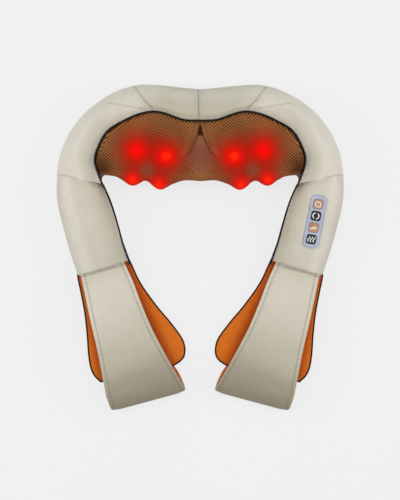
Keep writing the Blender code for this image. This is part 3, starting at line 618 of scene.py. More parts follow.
def mesh_cover():
    sheet = mesh_sheet(STATIONS)
    x, y, z = sheet[..., 0], sheet[..., 1], sheet[..., 2]
    side = np.abs(x)
    on_top = smooth(z, 45, 62)
    bulge = np.zeros(x.shape)
    # Painted light of the lamps on the net: the red glow, its bright centres, and a reddish painted spill
    # round the upper nodes.
    glow, lit, core, lamp_spill = (np.zeros(x.shape) for _ in range(4))
    for (nx, ny), hot in zip(UPPER_NODES, (0.0, 1.0)):
        for flip in (1, -1):
            away = np.hypot(side + flip * nx, y - ny)
            bulge += 3.4 * np.exp(-(away / 12) ** 2)
            glow = 1 - (1 - glow) * (1 - np.exp(-(away / 29) ** 2.4))
            lit = 1 - (1 - lit) * (1 - np.exp(-(away / 18) ** 1.9))
            core += np.exp(-(away / 6) ** 2) * hot
            lamp_spill += 0.8 * np.exp(-(away / 42) ** 2)
    for nx, ny in LOWER_NODES:
        away = np.sqrt((side + nx) ** 2 + (y - ny) ** 2 + np.maximum(72 - z, 0) ** 2)
        bulge += 2.0 * np.exp(-(away / 9) ** 2)
        glow = 1 - (1 - glow) * (1 - np.exp(-(away / 19) ** 2))
        lit = 1 - (1 - lit) * (1 - np.exp(-(away / 11.5) ** 2))
        core += np.exp(-(away / 4.2) ** 2) * 0.9
    shadow = 1 - 0.65 * np.exp(-((side - 69) / 8) ** 2 - ((y - 101) / 8) ** 2)
    glow, lit = glow * shadow, lit * shadow
    # A lighter painted patch above each outer upper node, where the net is lit from behind.
    backlit_patch = np.exp(-(np.hypot(side - 84, y - 154) / 15) ** 2)
    fold, run = to_line(side, y, DART)
    faded = 1 - smooth(run, 40, 54)
    ridge = np.exp(-((fold + 3.8) / 4.2) ** 2) * faded
    ditch = np.exp(-((fold - 0.7) / 1.2) ** 2) * faded * 0.7
    slit = (smooth(np.clip(160.5 - y, 0, 12) * 0.27 - side, -0.6, 0.9) * smooth(y, 143, 148)
            * (1 - smooth(y, 159.5, 160.5)))
    tuck = np.exp(-((side - 68.0) / 6.0) ** 2) * (1 - smooth(y, 88, 97))
    width = np.interp(y, *zip(*INNER_PANEL))
    inside = smooth(width - side, -0.8, 1.2) * smooth(z, 60, 70) * (1 - 0.5 * smooth(118 - y, 0, 16))
    hem = np.exp(-((side / 40) ** 4)) * smooth(98 - y, 0, 7) * smooth(z, 30, 50)
    corner = smooth(side, 104, 128) * smooth(y, 92, 100) * (1 - smooth(y, 104, 134))
    patch = smooth(side, 96, 106) * (1 - smooth(y, 93, 101))
    dip = (bulge * on_top + 2.6 * ridge - 3.0 * ditch - 2.4 * slit - 1.6 * tuck
           + 0.45 * ripple(sheet, 13, 5.0))
    across = lengths(sheet, 1)
    dip *= smooth(across, 1.0, 6.0) * smooth(z, 5, 30)
    normals = grid_normals(sheet)
    if normals[len(normals) // 2, 10, 2] < 0:
        normals = -normals
    # Painted shade: darker in the end corners, along the dart's crease and slit, down the lower wall and at
    # the edge by the piping.
    dark = np.clip(0.85 * corner + 0.75 * ditch + 0.95 * slit + 0.7 * (1 - smooth(z, 20, 60))
                   + 0.3 * np.exp(-((fold + 5) / 2.2) ** 2) * faded * smooth(y, 124, 134)
                   + 0.2 * (1 - smooth(across, 1, 4)), 0, 1)
    plain = np.clip(ridge * 1.3 + tuck * smooth(102 - y, 0, 6) * 1.1 + hem + patch * 0.8, 0, 1)
    return lay("mesh_cover_net", sheet + normals * dip[..., None], {
        "u": x, "v": y + (z - ROOF_LOW) * smooth(80 - z, 0, 25), "glow": glow, "lit": lit, "backlit_patch": backlit_patch,
        "lamp_spill": np.clip(lamp_spill, 0, 1), "core": np.clip(core, 0, 1), "dark": dark, "plain": plain,
        "inside": inside})


def mesh_finish():
    f = Finish("mesh", Roughness=0.75, Specular_IOR_Level=0.03, Emission_Strength=1.0)
    u, v = f.carried("u"), f.carried("v")
    glow, lit, core, dark = (f.carried(name) for name in ("glow", "lit", "core", "dark"))
    plain, inside = f.carried("plain"), f.carried("inside")

    def dots(pitch, turn):
        c, s = (part(math.radians(turn)) * 2 * math.pi / pitch for part in (math.cos, math.sin))
        return (u * c + v * s).cosine() + (v * c - u * s).cosine()

    weave = dots(2.95, 38) * (1 - inside) + dots(2.3, 62) * inside
    holes = f.ramp(weave, -0.5, 0.9) * (1 - plain)
    where = f.place()
    clouds = f.clouds(where, 55, 3)
    fibre = f.clouds(f.stretched(where, (900, 2600, 900), 38), 1.0, 2)
    strand = f.blended(clouds, tint(204, 146, 84), tint(178, 120, 68))
    # A lighter painted patch where the net is lit from behind.
    strand = f.blended(f.carried("backlit_patch") * 0.85, strand, tint(250, 152, 78))
    strand = f.blended(inside * 0.6, strand, tint(214, 138, 116))
    strand = f.blended(f.ramp(fibre, 0.35, 0.7) * 0.3, strand, tint(128, 84, 46))
    colour = f.blended(plain * 0.8, strand, tint(140, 97, 52))
    # A reddish painted spill of the lamps' light round the upper nodes.
    colour = f.blended(f.carried("lamp_spill") * 0.52, colour, tint(142, 56, 42))
    colour = f.blended(holes * 0.88, colour, tint(58, 27, 18))
    # Painted shade in the corners, creases and slit and down the lower wall.
    colour = f.blended(dark * 0.9, colour, tint(40, 18, 11))
    colour = f.blended(glow * 0.96, colour, tint(110, 0, 0))
    veil = 1 - holes * 0.55 * (1 - f.ramp(lit, 0.5, 0.95))
    shine = f.blended((lit * veil).clamped(), tint(0, 0, 0), tint(240, 0, 0))
    shine = f.blended(f.ramp(core, 0.1, 1.0) * 0.9, shine, tint(252, 42, 5))
    f.feed(Base_Color=colour, Emission_Color=shine)
    f.feed(Normal=f.relief(1 - holes + fibre * 0.15, 0.0006))
    return f.material


MESH = mesh_finish()
net = mesh_cover()
net_area = sum(face.area for face in net.data.polygons)
print("net area", round(net_area, 5), "m2")
thick(outward(net, (0, 0.15, 0.03)), NET_WALL)
finish_piece(net, MESH, "core", replaces=("mesh_cover",))

# %% [markdown]
# ## Piping
# A black cord in a sleeve is sewn into the edge where leather and mesh meet, and it runs on down the inner
# edge of each arm. It is a tube laid along the seam, a ring of points at each station.

# %% cord finish and the core's piping


def cord_finish():
    f = Finish("piping_black", Specular_IOR_Level=0.2)
    where = f.place()
    weave = f.cells(where, 1500)
    dust = f.clouds(where, 90, 3)
    colour = f.blended(f.ramp(dust, 0.3, 0.8) * 0.5 + weave * 0.15, tint(10, 9, 10), tint(26, 23, 22))
    f.feed(Base_Color=colour, Roughness=0.5 + dust * 0.25)
    f.feed(Normal=f.relief(weave, 0.0001))
    return f.material


CORD = cord_finish()


def core_piping():
    line = through(PIPING_LINE, 12)
    crown = through(CROWN, 12)[:, 0]
    path = np.column_stack([line, crown * PIPING_LEVEL + 0.9])
    tail = np.array([(126.8, 81.4, 52.5), (126.1, 79.9, 44.0), (125.5, 78.4, 35.0), (124.7, 76.6, 29.0)])
    path = np.vstack([path[:-2], through(np.vstack([path[-2:-1], tail]), 5)])
    return lay("core_piping_cord", tube(both_sides(path), 1.15), around=True)


finish_piece(core_piping(), CORD, "core", replaces=("core_piping",))

# %% [markdown]
# ## The arms
# Each arm is a leather tube filled with foam. It is laid as oval rings from the core's seam to the cuff, and
# then blown up a little as cloth under pressure, so that it swells between its seams and pulls into soft
# creases like a stuffed tube. Only small movements are kept, and none at the seams.

# %% arms


def oval_rings(outer, edge, low, high, power, count, shrink):
    """A ring at each station, starting at the middle of the back."""
    angle = -math.pi / 2 + np.linspace(0, 2 * math.pi, count + 1)
    c, s = np.cos(angle), np.sin(angle)
    c, s = np.sign(c) * np.abs(c) ** (2 / power), np.sign(s) * np.abs(s) ** (2 / power)
    middle, half = (outer + edge) / 2, (outer - edge) / 2
    size = shrink[:, None]
    width = np.where(size > 0.9, 1 - (1 - size) * 0.3, size)
    flat = middle[:, None] + half[:, None] * (c[None] * width)[..., None]
    z = ((high + low) / 2)[:, None] + ((high - low) / 2)[:, None] * s[None] * size
    return np.dstack([flat, z]), np.broadcast_to(c, z.shape), np.broadcast_to(s, z.shape)


def points_of(piece):
    found = np.empty(len(piece.data.vertices) * 3)
    piece.data.vertices.foreach_get("co", found)
    return found.reshape(-1, 3)


def puffed(piece, held, pressure, cap):
    """Blows the piece up as cloth where it isn't held. No point moves further than cap millimetres."""
    rest = points_of(piece)
    trial = piece.copy()
    trial.data = piece.data.copy()
    scene.collection.objects.link(trial)
    group = trial.vertex_groups.new(name="held")
    for index in np.flatnonzero(held > 0.02):
        group.add([int(index)], float(held[index]), "REPLACE")
    cloth = trial.modifiers.new("Cloth", "CLOTH")
    cloth.settings.quality = 5
    cloth.settings.mass = 0.25
    cloth.settings.tension_stiffness = cloth.settings.compression_stiffness = 12
    cloth.settings.shear_stiffness = 4
    cloth.settings.bending_stiffness = 0.4
    cloth.settings.use_pressure = True
    cloth.settings.uniform_pressure_force = pressure
    cloth.settings.effector_weights.gravity = 0
    cloth.settings.vertex_group_mass = "held"
    cloth.collision_settings.use_collision = False
    cloth.point_cache.frame_start, cloth.point_cache.frame_end = 1, SWELL_FRAMES
    for step in range(1, SWELL_FRAMES + 1):
        scene.frame_set(step)
    evaluated = trial.evaluated_get(bpy.context.evaluated_depsgraph_get())
    now = np.empty(len(rest) * 3)
    evaluated.data.vertices.foreach_get("co", now)
    move = now.reshape(-1, 3) - rest
    far = np.linalg.norm(move, axis=1)
    move *= (np.minimum(1, cap * MM / np.maximum(far, 1e-9)) * (1 - held))[:, None]
    piece.data.vertices.foreach_set("co", (rest + move).ravel())
    piece.data.update()
    bpy.data.objects.remove(trial)
    scene.frame_set(1)
    print(piece.name, "swelled by up to", round(float(np.linalg.norm(move, axis=1).max()) / MM, 2), "mm")
    return piece


def stored(piece, name):
    values = np.empty(len(piece.data.vertices), np.float32)
    piece.data.attributes[name].data.foreach_get("value", values)
    return values.astype(float)


def arm_cover(side, sign):
    outer, inner = through(ARM_OUTER, 11), through(ARM_INNER, 11)
    crown = through(ARM_CROWN, 11)[:, 0]
    edge = inner + (outer - inner) / np.linalg.norm(outer - inner, axis=1)[:, None] * 3.1
    up = np.array([0.0, 1.0])
    ends = [(0.0, 0, -4.0), (0.5, 0, -4.0), (0.86, 0, -4.0), (0.925, 0, -2.6), (0.955, 0, -0.6),
            (0.982, 1, 0), (0.996, 2, 0)]
    rows_outer = [outer[i] - up * down for _, i, down in ends] + list(outer[3:-2])
    rows_edge = [edge[i] - up * down for _, i, down in ends] + list(edge[3:-2])
    rows_top = [crown[i] for _, i, _ in ends] + list(crown[3:-2])
    shrink = [s for s, _, _ in ends] + [1.0] * (len(outer) - 5)
    for s, i, down in [(0.995, -2, 0), (0.985, -1, -0.6), (0.965, -1, -0.1), (0.93, -1, 0.3), (0.55, -1, 0.3),
                       (0.0, -1, 0.3)]:
        rows_outer.append(outer[i] - up * down)
        rows_edge.append(edge[i] - up * down)
        rows_top.append(crown[i])
        shrink.append(s)
    shrink = np.array(shrink)
    high = np.array(rows_top)
    sheet, c, s = oval_rings(np.array(rows_outer), np.array(rows_edge), np.full(len(high), 0.3), high,
                             2.7, 96, shrink)
    sheet[..., 0] *= sign
    normals = grid_normals(sheet)
    middle = sheet.mean(axis=1, keepdims=True)
    if ((sheet - middle) * normals).sum() < 0:
        normals = -normals
    run = lengths(sheet.mean(axis=1, keepdims=True), 0)
    row = np.arange(len(sheet))[:, None]
    inner_half = smooth(-c, 0.05, 0.75) * smooth(s, 0.1, 0.6)
    crease = ripple(sheet * np.array([1, 0.16, 0.5]), 7.5, 11.0)
    dip = (0.45 * ripple(sheet, 30, 2.0) + 0.75 * crease * inner_half + 0.25 * ripple(sheet, 11, 6.0)
           - 0.25 * np.exp(-((run - 6) / 4) ** 2)) * smooth(shrink, 0.9, 0.99)[:, None]
    piece_sheet = sheet + normals * dip[..., None]
    top = np.clip(s, 0, 1) ** 0.5
    # Painted light and shade: a lighter painted band on the outer part of the top, darker towards the inner
    # edge, at the outer rim and by the seam to the core, and an even value underneath.
    shade = (0.42 + 0.5 * smooth(-c, 0.1, 0.95) - 0.55 * np.exp(-((c - 0.62) / 0.24) ** 2)
             + 0.3 * smooth(c, 0.85, 1.0) + 0.1 * np.exp(-((run - 5) / 6) ** 2)) * top + 0.5 * (1 - top)
    piece = lay("arm_cover_" + side, piece_sheet, {
        "shade": shade, "seam_or_cuff_shadow": np.full(c.shape, FAR), "stitch": np.full(c.shape, FAR), "run": run,
        "held": 1 - smooth(row, 5, 14) * (1 - smooth(row, len(sheet) - 14, len(sheet) - 6))}, around=True)
    held = stored(piece, "held")
    return puffed(piece, held, 3.0, 2.6)


arm_covers = {side: arm_cover(side, sign) for side, sign in SIDES.items()}

# %% [markdown]
# ## The panel's pocket
# The control panel sits in a pocket in the right arm. A rounded block, longer and wider than the panel by a
# hair, is cut out of the leather with a Boolean.

# %% blocks in the panel's own frame
PANEL_FRAME = (Matrix.Translation((0.149, 0.0331, 0.058)) @ Matrix.Rotation(math.radians(-11.1), 4, "Z")
               @ Matrix.Rotation(math.radians(7), 4, "X"))
BUTTON_STEP = 15.6


def block(name, width, height, corner, low, high, centre=0.0, edge=0.0, segments=6):
    """A round-cornered block in the panel's frame, its front rim softened by edge."""
    deselect()
    bpy.ops.mesh.primitive_cube_add(size=1, location=(0, centre * MM, (low + high) / 2 * MM),
                                    scale=(width * MM, height * MM, (high - low) * MM))
    made = bpy.context.object
    made.name = made.data.name = name
    bpy.ops.object.transform_apply(location=True, rotation=True, scale=True)
    for chosen, offset, parts in (("upright", corner, segments), ("front", edge, 3)):
        if not offset:
            continue
        bpy.ops.object.mode_set(mode="EDIT")
        bpy.ops.mesh.select_all(action="DESELECT")
        bpy.ops.mesh.select_mode(type="EDGE")
        shape = bmesh.from_edit_mesh(made.data)
        for line in shape.edges:
            a, b = (v.co.z for v in line.verts)
            if chosen == "upright":
                line.select = abs(a - b) > 0.5 * (high - low) * MM
            else:
                line.select = min(a, b) > (high - 0.001) * MM
        bmesh.update_edit_mesh(made.data)
        bpy.ops.mesh.bevel(offset=offset * MM, segments=parts)
        bpy.ops.object.mode_set(mode="OBJECT")
    return made


def placed(piece):
    """Moves the piece's mesh from the panel's frame into the massager's."""
    piece.data.transform(PANEL_FRAME)
    piece.data.update()
    return piece


pocket = placed(block("pocket", 21.5, 70.5, 7.2, -9.1, 30))
settle(arm_covers["right"], "BOOLEAN", operation="DIFFERENCE", solver="EXACT", object=pocket)
bpy.data.objects.remove(pocket)
for side, sign in SIDES.items():
    finish_piece(arm_covers[side], LEATHER,
                 replaces=("arm_sleeve_" + side, "arm_foam_" + side))
    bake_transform(arm_covers[side])

# %% [markdown]
# The piping goes on down each arm's inner edge at half height, and drops to the flap's own piping at the
# cuff.

# %% arm piping


def arm_piping(side, sign):
    line = through(ARM_INNER, 8)
    path = np.column_stack([sign * (line[:, 0] + 1.7), line[:, 1], np.full(len(line), 28.0)])
    tail = through(np.array([path[-1], (sign * 92.2, -18.8, 24.5), (sign * 91.3, -21.5, 18.5)]), 4)[1:]
    return lay("arm_piping_cord_" + side, tube(np.vstack([path, tail]), 1.25), around=True)


for side, sign in SIDES.items():
    cord = arm_piping(side, sign)
    finish_piece(cord, CORD, replaces=("arm_piping_" + side,))
    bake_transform(cord)

# %% [markdown]
# ## The orange flaps
# Below each cuff hangs a flat padded flap of orange cloth, thick in the middle and thin where its two halves
# are sewn together round the piping. It is laid as flat rings whose ends close, and blown up a little like
# the arms.

# %% orange cloth and flaps


def orange_finish():
    f = Finish("orange_cloth", Specular_IOR_Level=0.12)
    where = f.place()
    shade = f.carried("shade")
    warp = f.clouds(f.stretched(where, (2400, 500, 500), 24), 1.0, 2)
    weft = f.clouds(f.stretched(where, (500, 2400, 500), 24), 1.0, 2)
    broad = f.clouds(where, 30, 3)
    colour = f.blended((shade + (broad - 0.5) * 0.45).clamped(), tint(226, 116, 28), tint(180, 68, 6))
    colour = f.blended(f.ramp(warp, 0.4, 0.7) * 0.25, colour, tint(146, 58, 10))
    colour = f.blended(f.ramp(weft, 0.45, 0.75) * 0.2, colour, tint(232, 140, 62))
    f.feed(Base_Color=colour, Roughness=0.66 + (warp - 0.5) * 0.3)
    f.feed(Normal=f.relief(warp + weft, 0.00035, f.relief(broad, 0.0012)))
    return f.material


ORANGE = orange_finish()


def inset_lines(outer, inner, distance):
    line = np.vstack([outer, inner[::-1]])
    ahead = np.gradient(line, axis=0)
    ahead /= np.linalg.norm(ahead, axis=1, keepdims=True)
    moved = line + distance * np.column_stack([ahead[:, 1], -ahead[:, 0]])
    return moved[:len(outer)], moved[len(outer):][::-1]


def flap_pad(side, sign):
    outer, inner = inset_lines(through(FLAP_OUTER, 9), through(FLAP_INNER, 9), 1.7)
    count = 34
    t = 0.5 - 0.5 * np.cos(np.linspace(0, math.pi, count))
    flat = outer[:, None] + (inner - outer)[:, None] * t[None, :, None]
    away = np.linalg.norm(np.diff(flat.mean(axis=1), axis=0), axis=1)
    left = np.append(np.cumsum(away[::-1])[::-1], 0)
    run = np.insert(np.cumsum(away), 0, 0)
    end = np.sqrt(1 - (1 - np.clip(left / 16, 0, 1)) ** 2)
    edge = (1 - np.abs(2 * t - 1) ** 3.2) ** 0.6
    half = 5.4 * edge[None] * end[:, None] + 0.25
    x, y = flat[..., 0], flat[..., 1]
    near_inner = to_line(x, y, STRAP_INNER)[0]
    near_outer = to_line(x, y, STRAP_OUTER)[0]
    fold = (0.9 * ripple(np.dstack([x, y * 0.22, x * 0]), 10, 4.0)
            + 0.5 * ripple(np.dstack([x, y, x * 0]), 24, 9.0))
    fold = fold * edge[None] * end[:, None]
    front = np.dstack([sign * x, y, FLAP_MIDDLE + half + fold])
    back = np.dstack([sign * x, y, FLAP_MIDDLE - half + fold * 0.6])
    # Painted shade: darker along the strap's edges, where the strap shades the flap, and just under the cuff;
    # the back gets an even value.
    shade = (0.75 * np.exp(-(near_inner / 9) ** 2) + 0.6 * np.exp(-(near_outer / 6) ** 2)
             + 0.25 * (1 - smooth(run, 0, 40))[:, None])
    ring = np.concatenate([front, back[:, ::-1][:, 1:], front[:, :1]], axis=1)
    shades = np.concatenate([shade, shade[:, ::-1][:, 1:] * 0 + 0.4, shade[:, :1]], axis=1)
    closed = np.tile(ring[:1].mean(axis=1, keepdims=True), (1, ring.shape[1], 1))
    ring = np.concatenate([closed, ring], axis=0)
    shades = np.concatenate([shades[:1], shades], axis=0)
    row = np.arange(len(ring))[:, None]
    rim = 1 - np.concatenate([edge, edge[::-1][1:], edge[:1]])[None] ** 0.7
    held = np.clip(np.maximum(rim, 1 - smooth(row, 3, 12)) + (1 - smooth(len(ring) - row, 3, 12)), 0, 1)
    piece = lay("flap_" + side, ring, {"shade": shades, "held": held}, around=True)
    return puffed(piece, stored(piece, "held"), 2.0, 1.6)


def flap_piping(side, sign):
    outer, inner = inset_lines(through(FLAP_OUTER, 9), through(FLAP_INNER, 9), 1.25)
    bottom = outer[-1] + (inner[-1] - outer[-1]) * np.linspace(0.03, 0.97, 30)[:, None]
    line = np.vstack([outer, bottom, inner[::-1]])
    path = np.column_stack([sign * line[:, 0], line[:, 1], np.full(len(line), FLAP_MIDDLE)])
    return lay("flap_piping_cord_" + side, tube(path, 1.2, around=8), around=True)


def hang(piece):
    """Bakes the piece's placement into its mesh."""
    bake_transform(piece)


for side, sign in SIDES.items():
    pad = settle(flap_pad(side, sign), "SUBSURF", levels=1, render_levels=1)
    finish_piece(pad, ORANGE, replaces=("orange_flap_" + side,))
    cord = finish_piece(flap_piping(side, sign), CORD, replaces=("flap_piping_" + side,))
    for piece in (pad, cord):
        hang(piece)

# %% [markdown]
# ## The hand straps
# A strap is one long band of leather lined with orange cloth. It leaves the cuff in front, turns round below
# the flap and goes back up behind it, so that a hand slips in. Two rows of stitches hold the lining along its
# edges. It is modelled directly: a thin ring of points at each station, leather outside and lining inside.

# %% straps


def strap_lines():
    """The band's outer and inner edge from the cuff, round the turn, and back up behind the flap."""
    outer = np.column_stack([through(STRAP_OUTER, 9), through(STRAP_FRONT, 9)[:, 0]])
    inner = np.column_stack([through(STRAP_INNER, 9), through(STRAP_FRONT, 9)[:, 0]])
    middle, radius = (STRAP_FRONT[-1] + STRAP_REAR) / 2, (STRAP_FRONT[-1] - STRAP_REAR) / 2
    lines = []
    for line, down, spare in ((outer, (-6.3, -16.9, 0), 0.0), (inner, (-15.0, -25.4, 0), 1.0)):
        start = line[0] + (line[0] - line[3]) / np.linalg.norm(line[0] - line[3]) * 5
        angle = math.pi / 2 - math.pi * np.arange(1, 22) / 22
        turn = line[-1] + np.array(down) * np.cos(angle)[:, None]
        turn[:, 2] = middle + radius * np.sin(angle)
        rear = line[::-1].copy()
        rear[:, 2] = STRAP_REAR
        drift = 4.2 * spare * np.exp(-((rear[:, 1] + 163) / 14) ** 2)
        rear[:, 0] -= drift
        turn[11:, 0] -= spare * drift[0] * smooth(np.arange(10), 0, 10)
        sewn = start.copy()
        sewn[2] = STRAP_REAR + 2
        lines.append(np.vstack([start, line, turn, rear, sewn]))
    return lines


def strap(side, sign):
    outer, inner = strap_lines()
    middle = (outer + inner) / 2
    ahead = np.gradient(middle, axis=0)
    width = inner - outer
    span = np.linalg.norm(width, axis=1)
    normal = np.cross(ahead, width)
    normal /= np.linalg.norm(normal, axis=1, keepdims=True)
    normal *= np.sign(normal[5, 2])
    t = np.sin(np.linspace(-math.pi / 2, math.pi / 2, 45))
    body = np.sqrt(1 - np.abs(t) ** 18)
    run = np.insert(np.cumsum(np.linalg.norm(np.diff(middle, axis=0), axis=1)), 0, 0)
    from_edge = (1 - np.abs(t))[None] * span[:, None] / 2
    across = middle[:, None] + width[:, None] * t[None, :, None] / 2
    turn = len(outer) // 2
    bend = np.exp(-((run - run[turn]) / 16) ** 2)[:, None]
    corner = 1 - np.sqrt(1 - np.clip(1 - from_edge / 4.5, 0, 1) ** 2)
    across += np.array([0.35, 0.93, 0]) * (3.2 * corner * bend)[..., None]
    soft = (1.1 * ripple(across * np.array([1, 0.7, 1]), 22, 7.0)
            + 0.6 * ripple(across * np.array([0.6, 1.2, 1]), 9, 1.0))
    soft *= 1 - bend
    puff = 0.7 * smooth(from_edge, 5.2, 14) - 0.45 * np.exp(-((from_edge - STITCH_INSET) / 1.3) ** 2)
    face = (1.25 * body[None] + (puff + soft) * smooth(from_edge, 0, 3))
    lining = 1.15 * body[None] - soft * smooth(from_edge, 0, 3)
    up = across + normal[:, None] * face[..., None]
    down = across - normal[:, None] * lining[..., None]
    ring = np.concatenate([up, down[:, ::-1][:, 1:], up[:, :1]], axis=1)
    edge = np.concatenate([from_edge, from_edge[:, ::-1][:, 1:], from_edge[:, :1]], axis=1)
    ring[..., 0] *= sign
    n = len(t)
    inside = np.zeros(ring.shape[:2])
    inside[:, n + 1:-2] = 1
    ends = [np.tile(ring[i:i + 1].mean(axis=1, keepdims=True), (1, ring.shape[1], 1))
            for i in (0, len(ring) - 1)]
    ring = np.concatenate([ends[0], ring, ends[1]], axis=0)

    def grown(values):
        return np.concatenate([values[:1], values, values[-1:]], axis=0)

    run = np.broadcast_to(run[:, None], edge.shape)
    # Painted shade: darker towards the turn at the bottom and just under the cuff, a slight painted highlight
    # along the edges, and an even value on the lining.
    low = smooth(run, 40, 150) * 0.95 + smooth(run, 105, 195) * 0.65
    shade = 0.30 + low + 0.25 * (1 - smooth(run, 5, 26)) - 0.1 * np.exp(-(edge / 2.2) ** 2)
    stitch = (edge - STITCH_INSET) * 0.6
    stitch = np.where(inside > 0.5, FAR, stitch)
    shade = np.where(inside > 0.5, 0.15, shade)
    # The strap's seam value paints a dark shadow line, with a small groove, where the strap comes out from
    # under the cuff.
    return lay("hand_strap_" + side + "_band", ring, {
        "shade": grown(shade), "stitch": grown(stitch), "run": grown(run), "seam_or_cuff_shadow": grown((run - 5.6) * 0.7),
        "inside": grown(inside)}, around=True)


for side, sign in SIDES.items():
    band = strap(side, sign)
    band.data.materials.append(LEATHER)
    band.data.materials.append(ORANGE)
    inside = stored(band, "inside")
    for face in band.data.polygons:
        face.material_index = int(np.mean(inside[list(face.vertices)]) > 0.6)
    finish_piece(band, None, angle=60, replaces=("hand_strap_" + side,))
    hang(band)
    area = sum(face.area for face in band.data.polygons) / 2
    print("strap area", round(area, 5))

# %% [markdown]
# ## The control panel
# A pale lavender plastic frame holds four soft square buttons. Both are moulded, so every rim is rounded: a
# cube's upright edges are bevelled into the round outline, and then its front rim. The frame's openings are
# cut with Booleans.

# %% plastics


def plastic_finish(name, light, dark, rough, coat=0.0):
    f = Finish(name, Coat_Weight=coat, Coat_Roughness=0.2)
    where = f.place()
    speckle = f.clouds(where, 700, 3)
    cloud = f.clouds(where, 60, 2)
    colour = f.blended(f.ramp(cloud, 0.25, 0.8) * 0.6 + speckle * 0.25, light, dark)
    f.feed(Base_Color=colour, Roughness=rough + (speckle - 0.5) * 0.2)
    f.feed(Normal=f.relief(speckle, 0.00006))
    return f.material


LAVENDER = plastic_finish("lavender_plastic", tint(184, 189, 212), tint(160, 164, 186), 0.34, 0.2)
COPPER = plastic_finish("copper_rubber", tint(196, 146, 112), tint(168, 112, 82), 0.42)
BLACK = plastic_finish("black_rubber", tint(8, 8, 12), tint(18, 18, 24), 0.45)
WHITE_MARK = plastic_finish("white_mark", tint(246, 243, 236), tint(226, 222, 214), 0.45)


def bezel():
    frame_piece = block("panel_frame", 21, 70, 7, -8.5, 0, edge=1.0, segments=10)
    tools = [block("tool", 17, 66, 5, -14, -3.5)]
    tools += [block("tool", 12.9, 12.9, 3, -6, 5, (1.5 - k) * BUTTON_STEP) for k in range(4)]
    for tool in tools:
        settle(frame_piece, "BOOLEAN", operation="DIFFERENCE", solver="EXACT", object=tool)
        bpy.data.objects.remove(tool)
    return placed(frame_piece)


finish_piece(bezel(), LAVENDER, "arm_right", angle=35, replaces=("panel_bezel",))

# %% [markdown]
# Each button is a soft block with a shallow dish, and its mark is a thin raised line in white: a ring with a
# bar for power, two arcs for the turning direction, leaning bars for speed and wavy lines for heat.

# %% buttons and marks


def button_block(name, centre):
    made = block(name, 12.3, 12.3, 2.7, -5.6, 1.2, centre, edge=0.9)
    bpy.ops.object.mode_set(mode="EDIT")
    bpy.ops.mesh.select_all(action="DESELECT")
    shape = bmesh.from_edit_mesh(made.data)
    for face in shape.faces:
        face.select = face.normal.z > 0.99 and face.calc_area() > 5e-5
    bmesh.update_edit_mesh(made.data)
    bpy.ops.mesh.inset(thickness=0.0012)
    bpy.ops.transform.translate(value=(0, 0, -0.00022))
    bpy.ops.object.mode_set(mode="OBJECT")
    return placed(made)


def arc(radius, start, stop, count=26):
    angle = np.radians(np.linspace(start, stop, count))
    return [(radius * math.cos(a), radius * math.sin(a)) for a in angle]


def wave(x):
    return [(x + 0.75 * math.sin(t * 2.4 * math.pi) + 1.6 * (0.5 - t), 3.7 - 7.4 * t)
            for t in np.linspace(1, 0, 20)]


def mark(name, strokes, centre, width):
    made = []
    for k, stroke in enumerate(strokes):
        path = np.array([(x, y + centre, 1.08) for x, y in stroke])
        made.append(lay(f"{name}_{k}", tube(path, width, around=8, flat=0.42), around=True))
    deselect()
    for piece in made:
        piece.select_set(True)
    bpy.context.view_layer.objects.active = made[0]
    if len(made) > 1:
        bpy.ops.object.join()
    made[0].name = made[0].data.name = name
    return placed(made[0])


MARKS = {
    "power": ([arc(3.7, 100, 440, 40), [(0.3, 1.0), (-0.1, 2.1), (-0.5, 3.2)]], 0.55),
    "direction": ([arc(3.9, 105, 240), arc(3.9, -75, 60)], 0.72),
    "speed": ([[(-4.2, -2.2), (-3.0, -0.6)], [(-2.4, -2.2), (-0.6, 0.6)], [(-0.4, -2.2), (1.6, 2.0)],
               [(1.8, -2.2), (3.9, 1.3)]], 0.58),
    "heat": ([wave(-3.4), wave(0.0), wave(3.4)], 0.62),
}
for k, (kind, (strokes, width)) in enumerate(MARKS.items()):
    centre = (1.5 - k) * BUTTON_STEP
    body = "button_" + kind
    look, slot = (COPPER, "copper") if k % 2 == 0 else (BLACK, "black")
    finish_piece(button_block("key_" + kind, centre), look, body, angle=35, replaces=(body,))
    finish_piece(mark("mark_" + kind, strokes, centre, width), WHITE_MARK, body)

# %% [markdown]
# ## The working parts inside
# The shells, motor, gears and boards keep the frame's own shapes. They still get real finishes.

# %% inner finishes


def metal_finish(name, light, dark, rough):
    f = Finish(name, Metallic=1.0)
    where = f.place()
    brushed = f.clouds(f.stretched(where, (60, 2600, 2600)), 1.0, 4)
    smudge = f.clouds(where, 70, 3)
    f.feed(Base_Color=f.blended(f.ramp(smudge, 0.3, 0.8), light, dark),
           Roughness=rough + (brushed - 0.5) * 0.25)
    f.feed(Normal=f.relief(brushed, 0.00004))
    return f.material


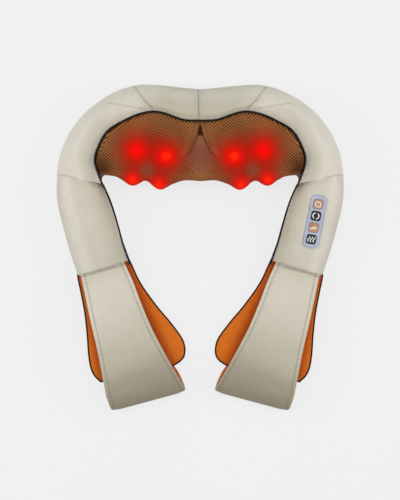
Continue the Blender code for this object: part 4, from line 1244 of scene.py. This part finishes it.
def board_finish():
    f = Finish("circuit_board", Coat_Weight=0.4)
    where = f.place()
    traces = f.add("ShaderNodeTexVoronoi", {"feature": "DISTANCE_TO_EDGE", "distance": "EUCLIDEAN"},
                   {"Vector": where, "Scale": 300.0})
    colour = f.blended(f.ramp(traces, 0.05, 0.12), tint(150, 160, 60), tint(22, 84, 44))
    f.feed(Base_Color=colour, Roughness=0.35 + f.clouds(where, 400) * 0.2)
    f.feed(Normal=f.relief(traces, 0.0001))
    return f.material


STEEL = metal_finish("steel", tint(196, 198, 202), tint(160, 162, 168), 0.34)
BRASS = metal_finish("brass", tint(214, 178, 104), tint(176, 138, 70), 0.3)
SHELL = plastic_finish("shell_plastic", tint(62, 62, 66), tint(44, 44, 48), 0.5)
GEAR_WHITE = plastic_finish("gear_plastic", tint(232, 230, 222), tint(208, 204, 192), 0.4)
NODE_RED = plastic_finish("node_plastic", tint(222, 44, 26), tint(180, 20, 12), 0.3, 0.3)
BOARD = board_finish()
INNER = {"core_rear_shell": SHELL, "core_front_shell": SHELL, "housing_screw": STEEL, "motor": STEEL,
         "gear_bracket": STEEL, "upper_spindle": STEEL, "lower_spindle": STEEL, "worm": BRASS,
         "upper_wheel": GEAR_WHITE, "lower_wheel": GEAR_WHITE, "upper_carrier": GEAR_WHITE,
         "lower_carrier": GEAR_WHITE, "upper_node": NODE_RED, "lower_node": NODE_RED, "lamp_board": BOARD,
         "control_board": BOARD, "panel_board": BOARD, "dc_inlet": BLACK}
dressed = 0
for name, node in frame["nodes"].items():
    look = next((look for stem, look in INNER.items() if name.startswith(stem)), None)
    if look:
        node.data.materials.clear()
        node.data.materials.append(look)
        dressed += 1
print("inner nodes dressed:", dressed)

# %% [markdown]
# ## The floor
# A wide plain sheet just under the massager. Most of its brightness is its own, so only a faint shadow shows.

# %% floor and end


def floor_finish():
    f = Finish("studio_floor", Roughness=0.9, Emission_Strength=1.0)
    cloud = f.clouds(f.place(), 3.0, 2)
    f.feed(Base_Color=f.blended(cloud, tint(88, 88, 88), tint(92, 92, 92)),
           Emission_Color=f.blended(cloud, tint(226, 226, 226), tint(227, 227, 227)))
    return f.material


deselect()
bpy.ops.mesh.primitive_plane_add(size=16, location=(0, 0, -0.0015))
floor = bpy.context.object
floor.name = "floor"
bpy.ops.object.transform_apply(location=True)
floor.data.materials.append(floor_finish())
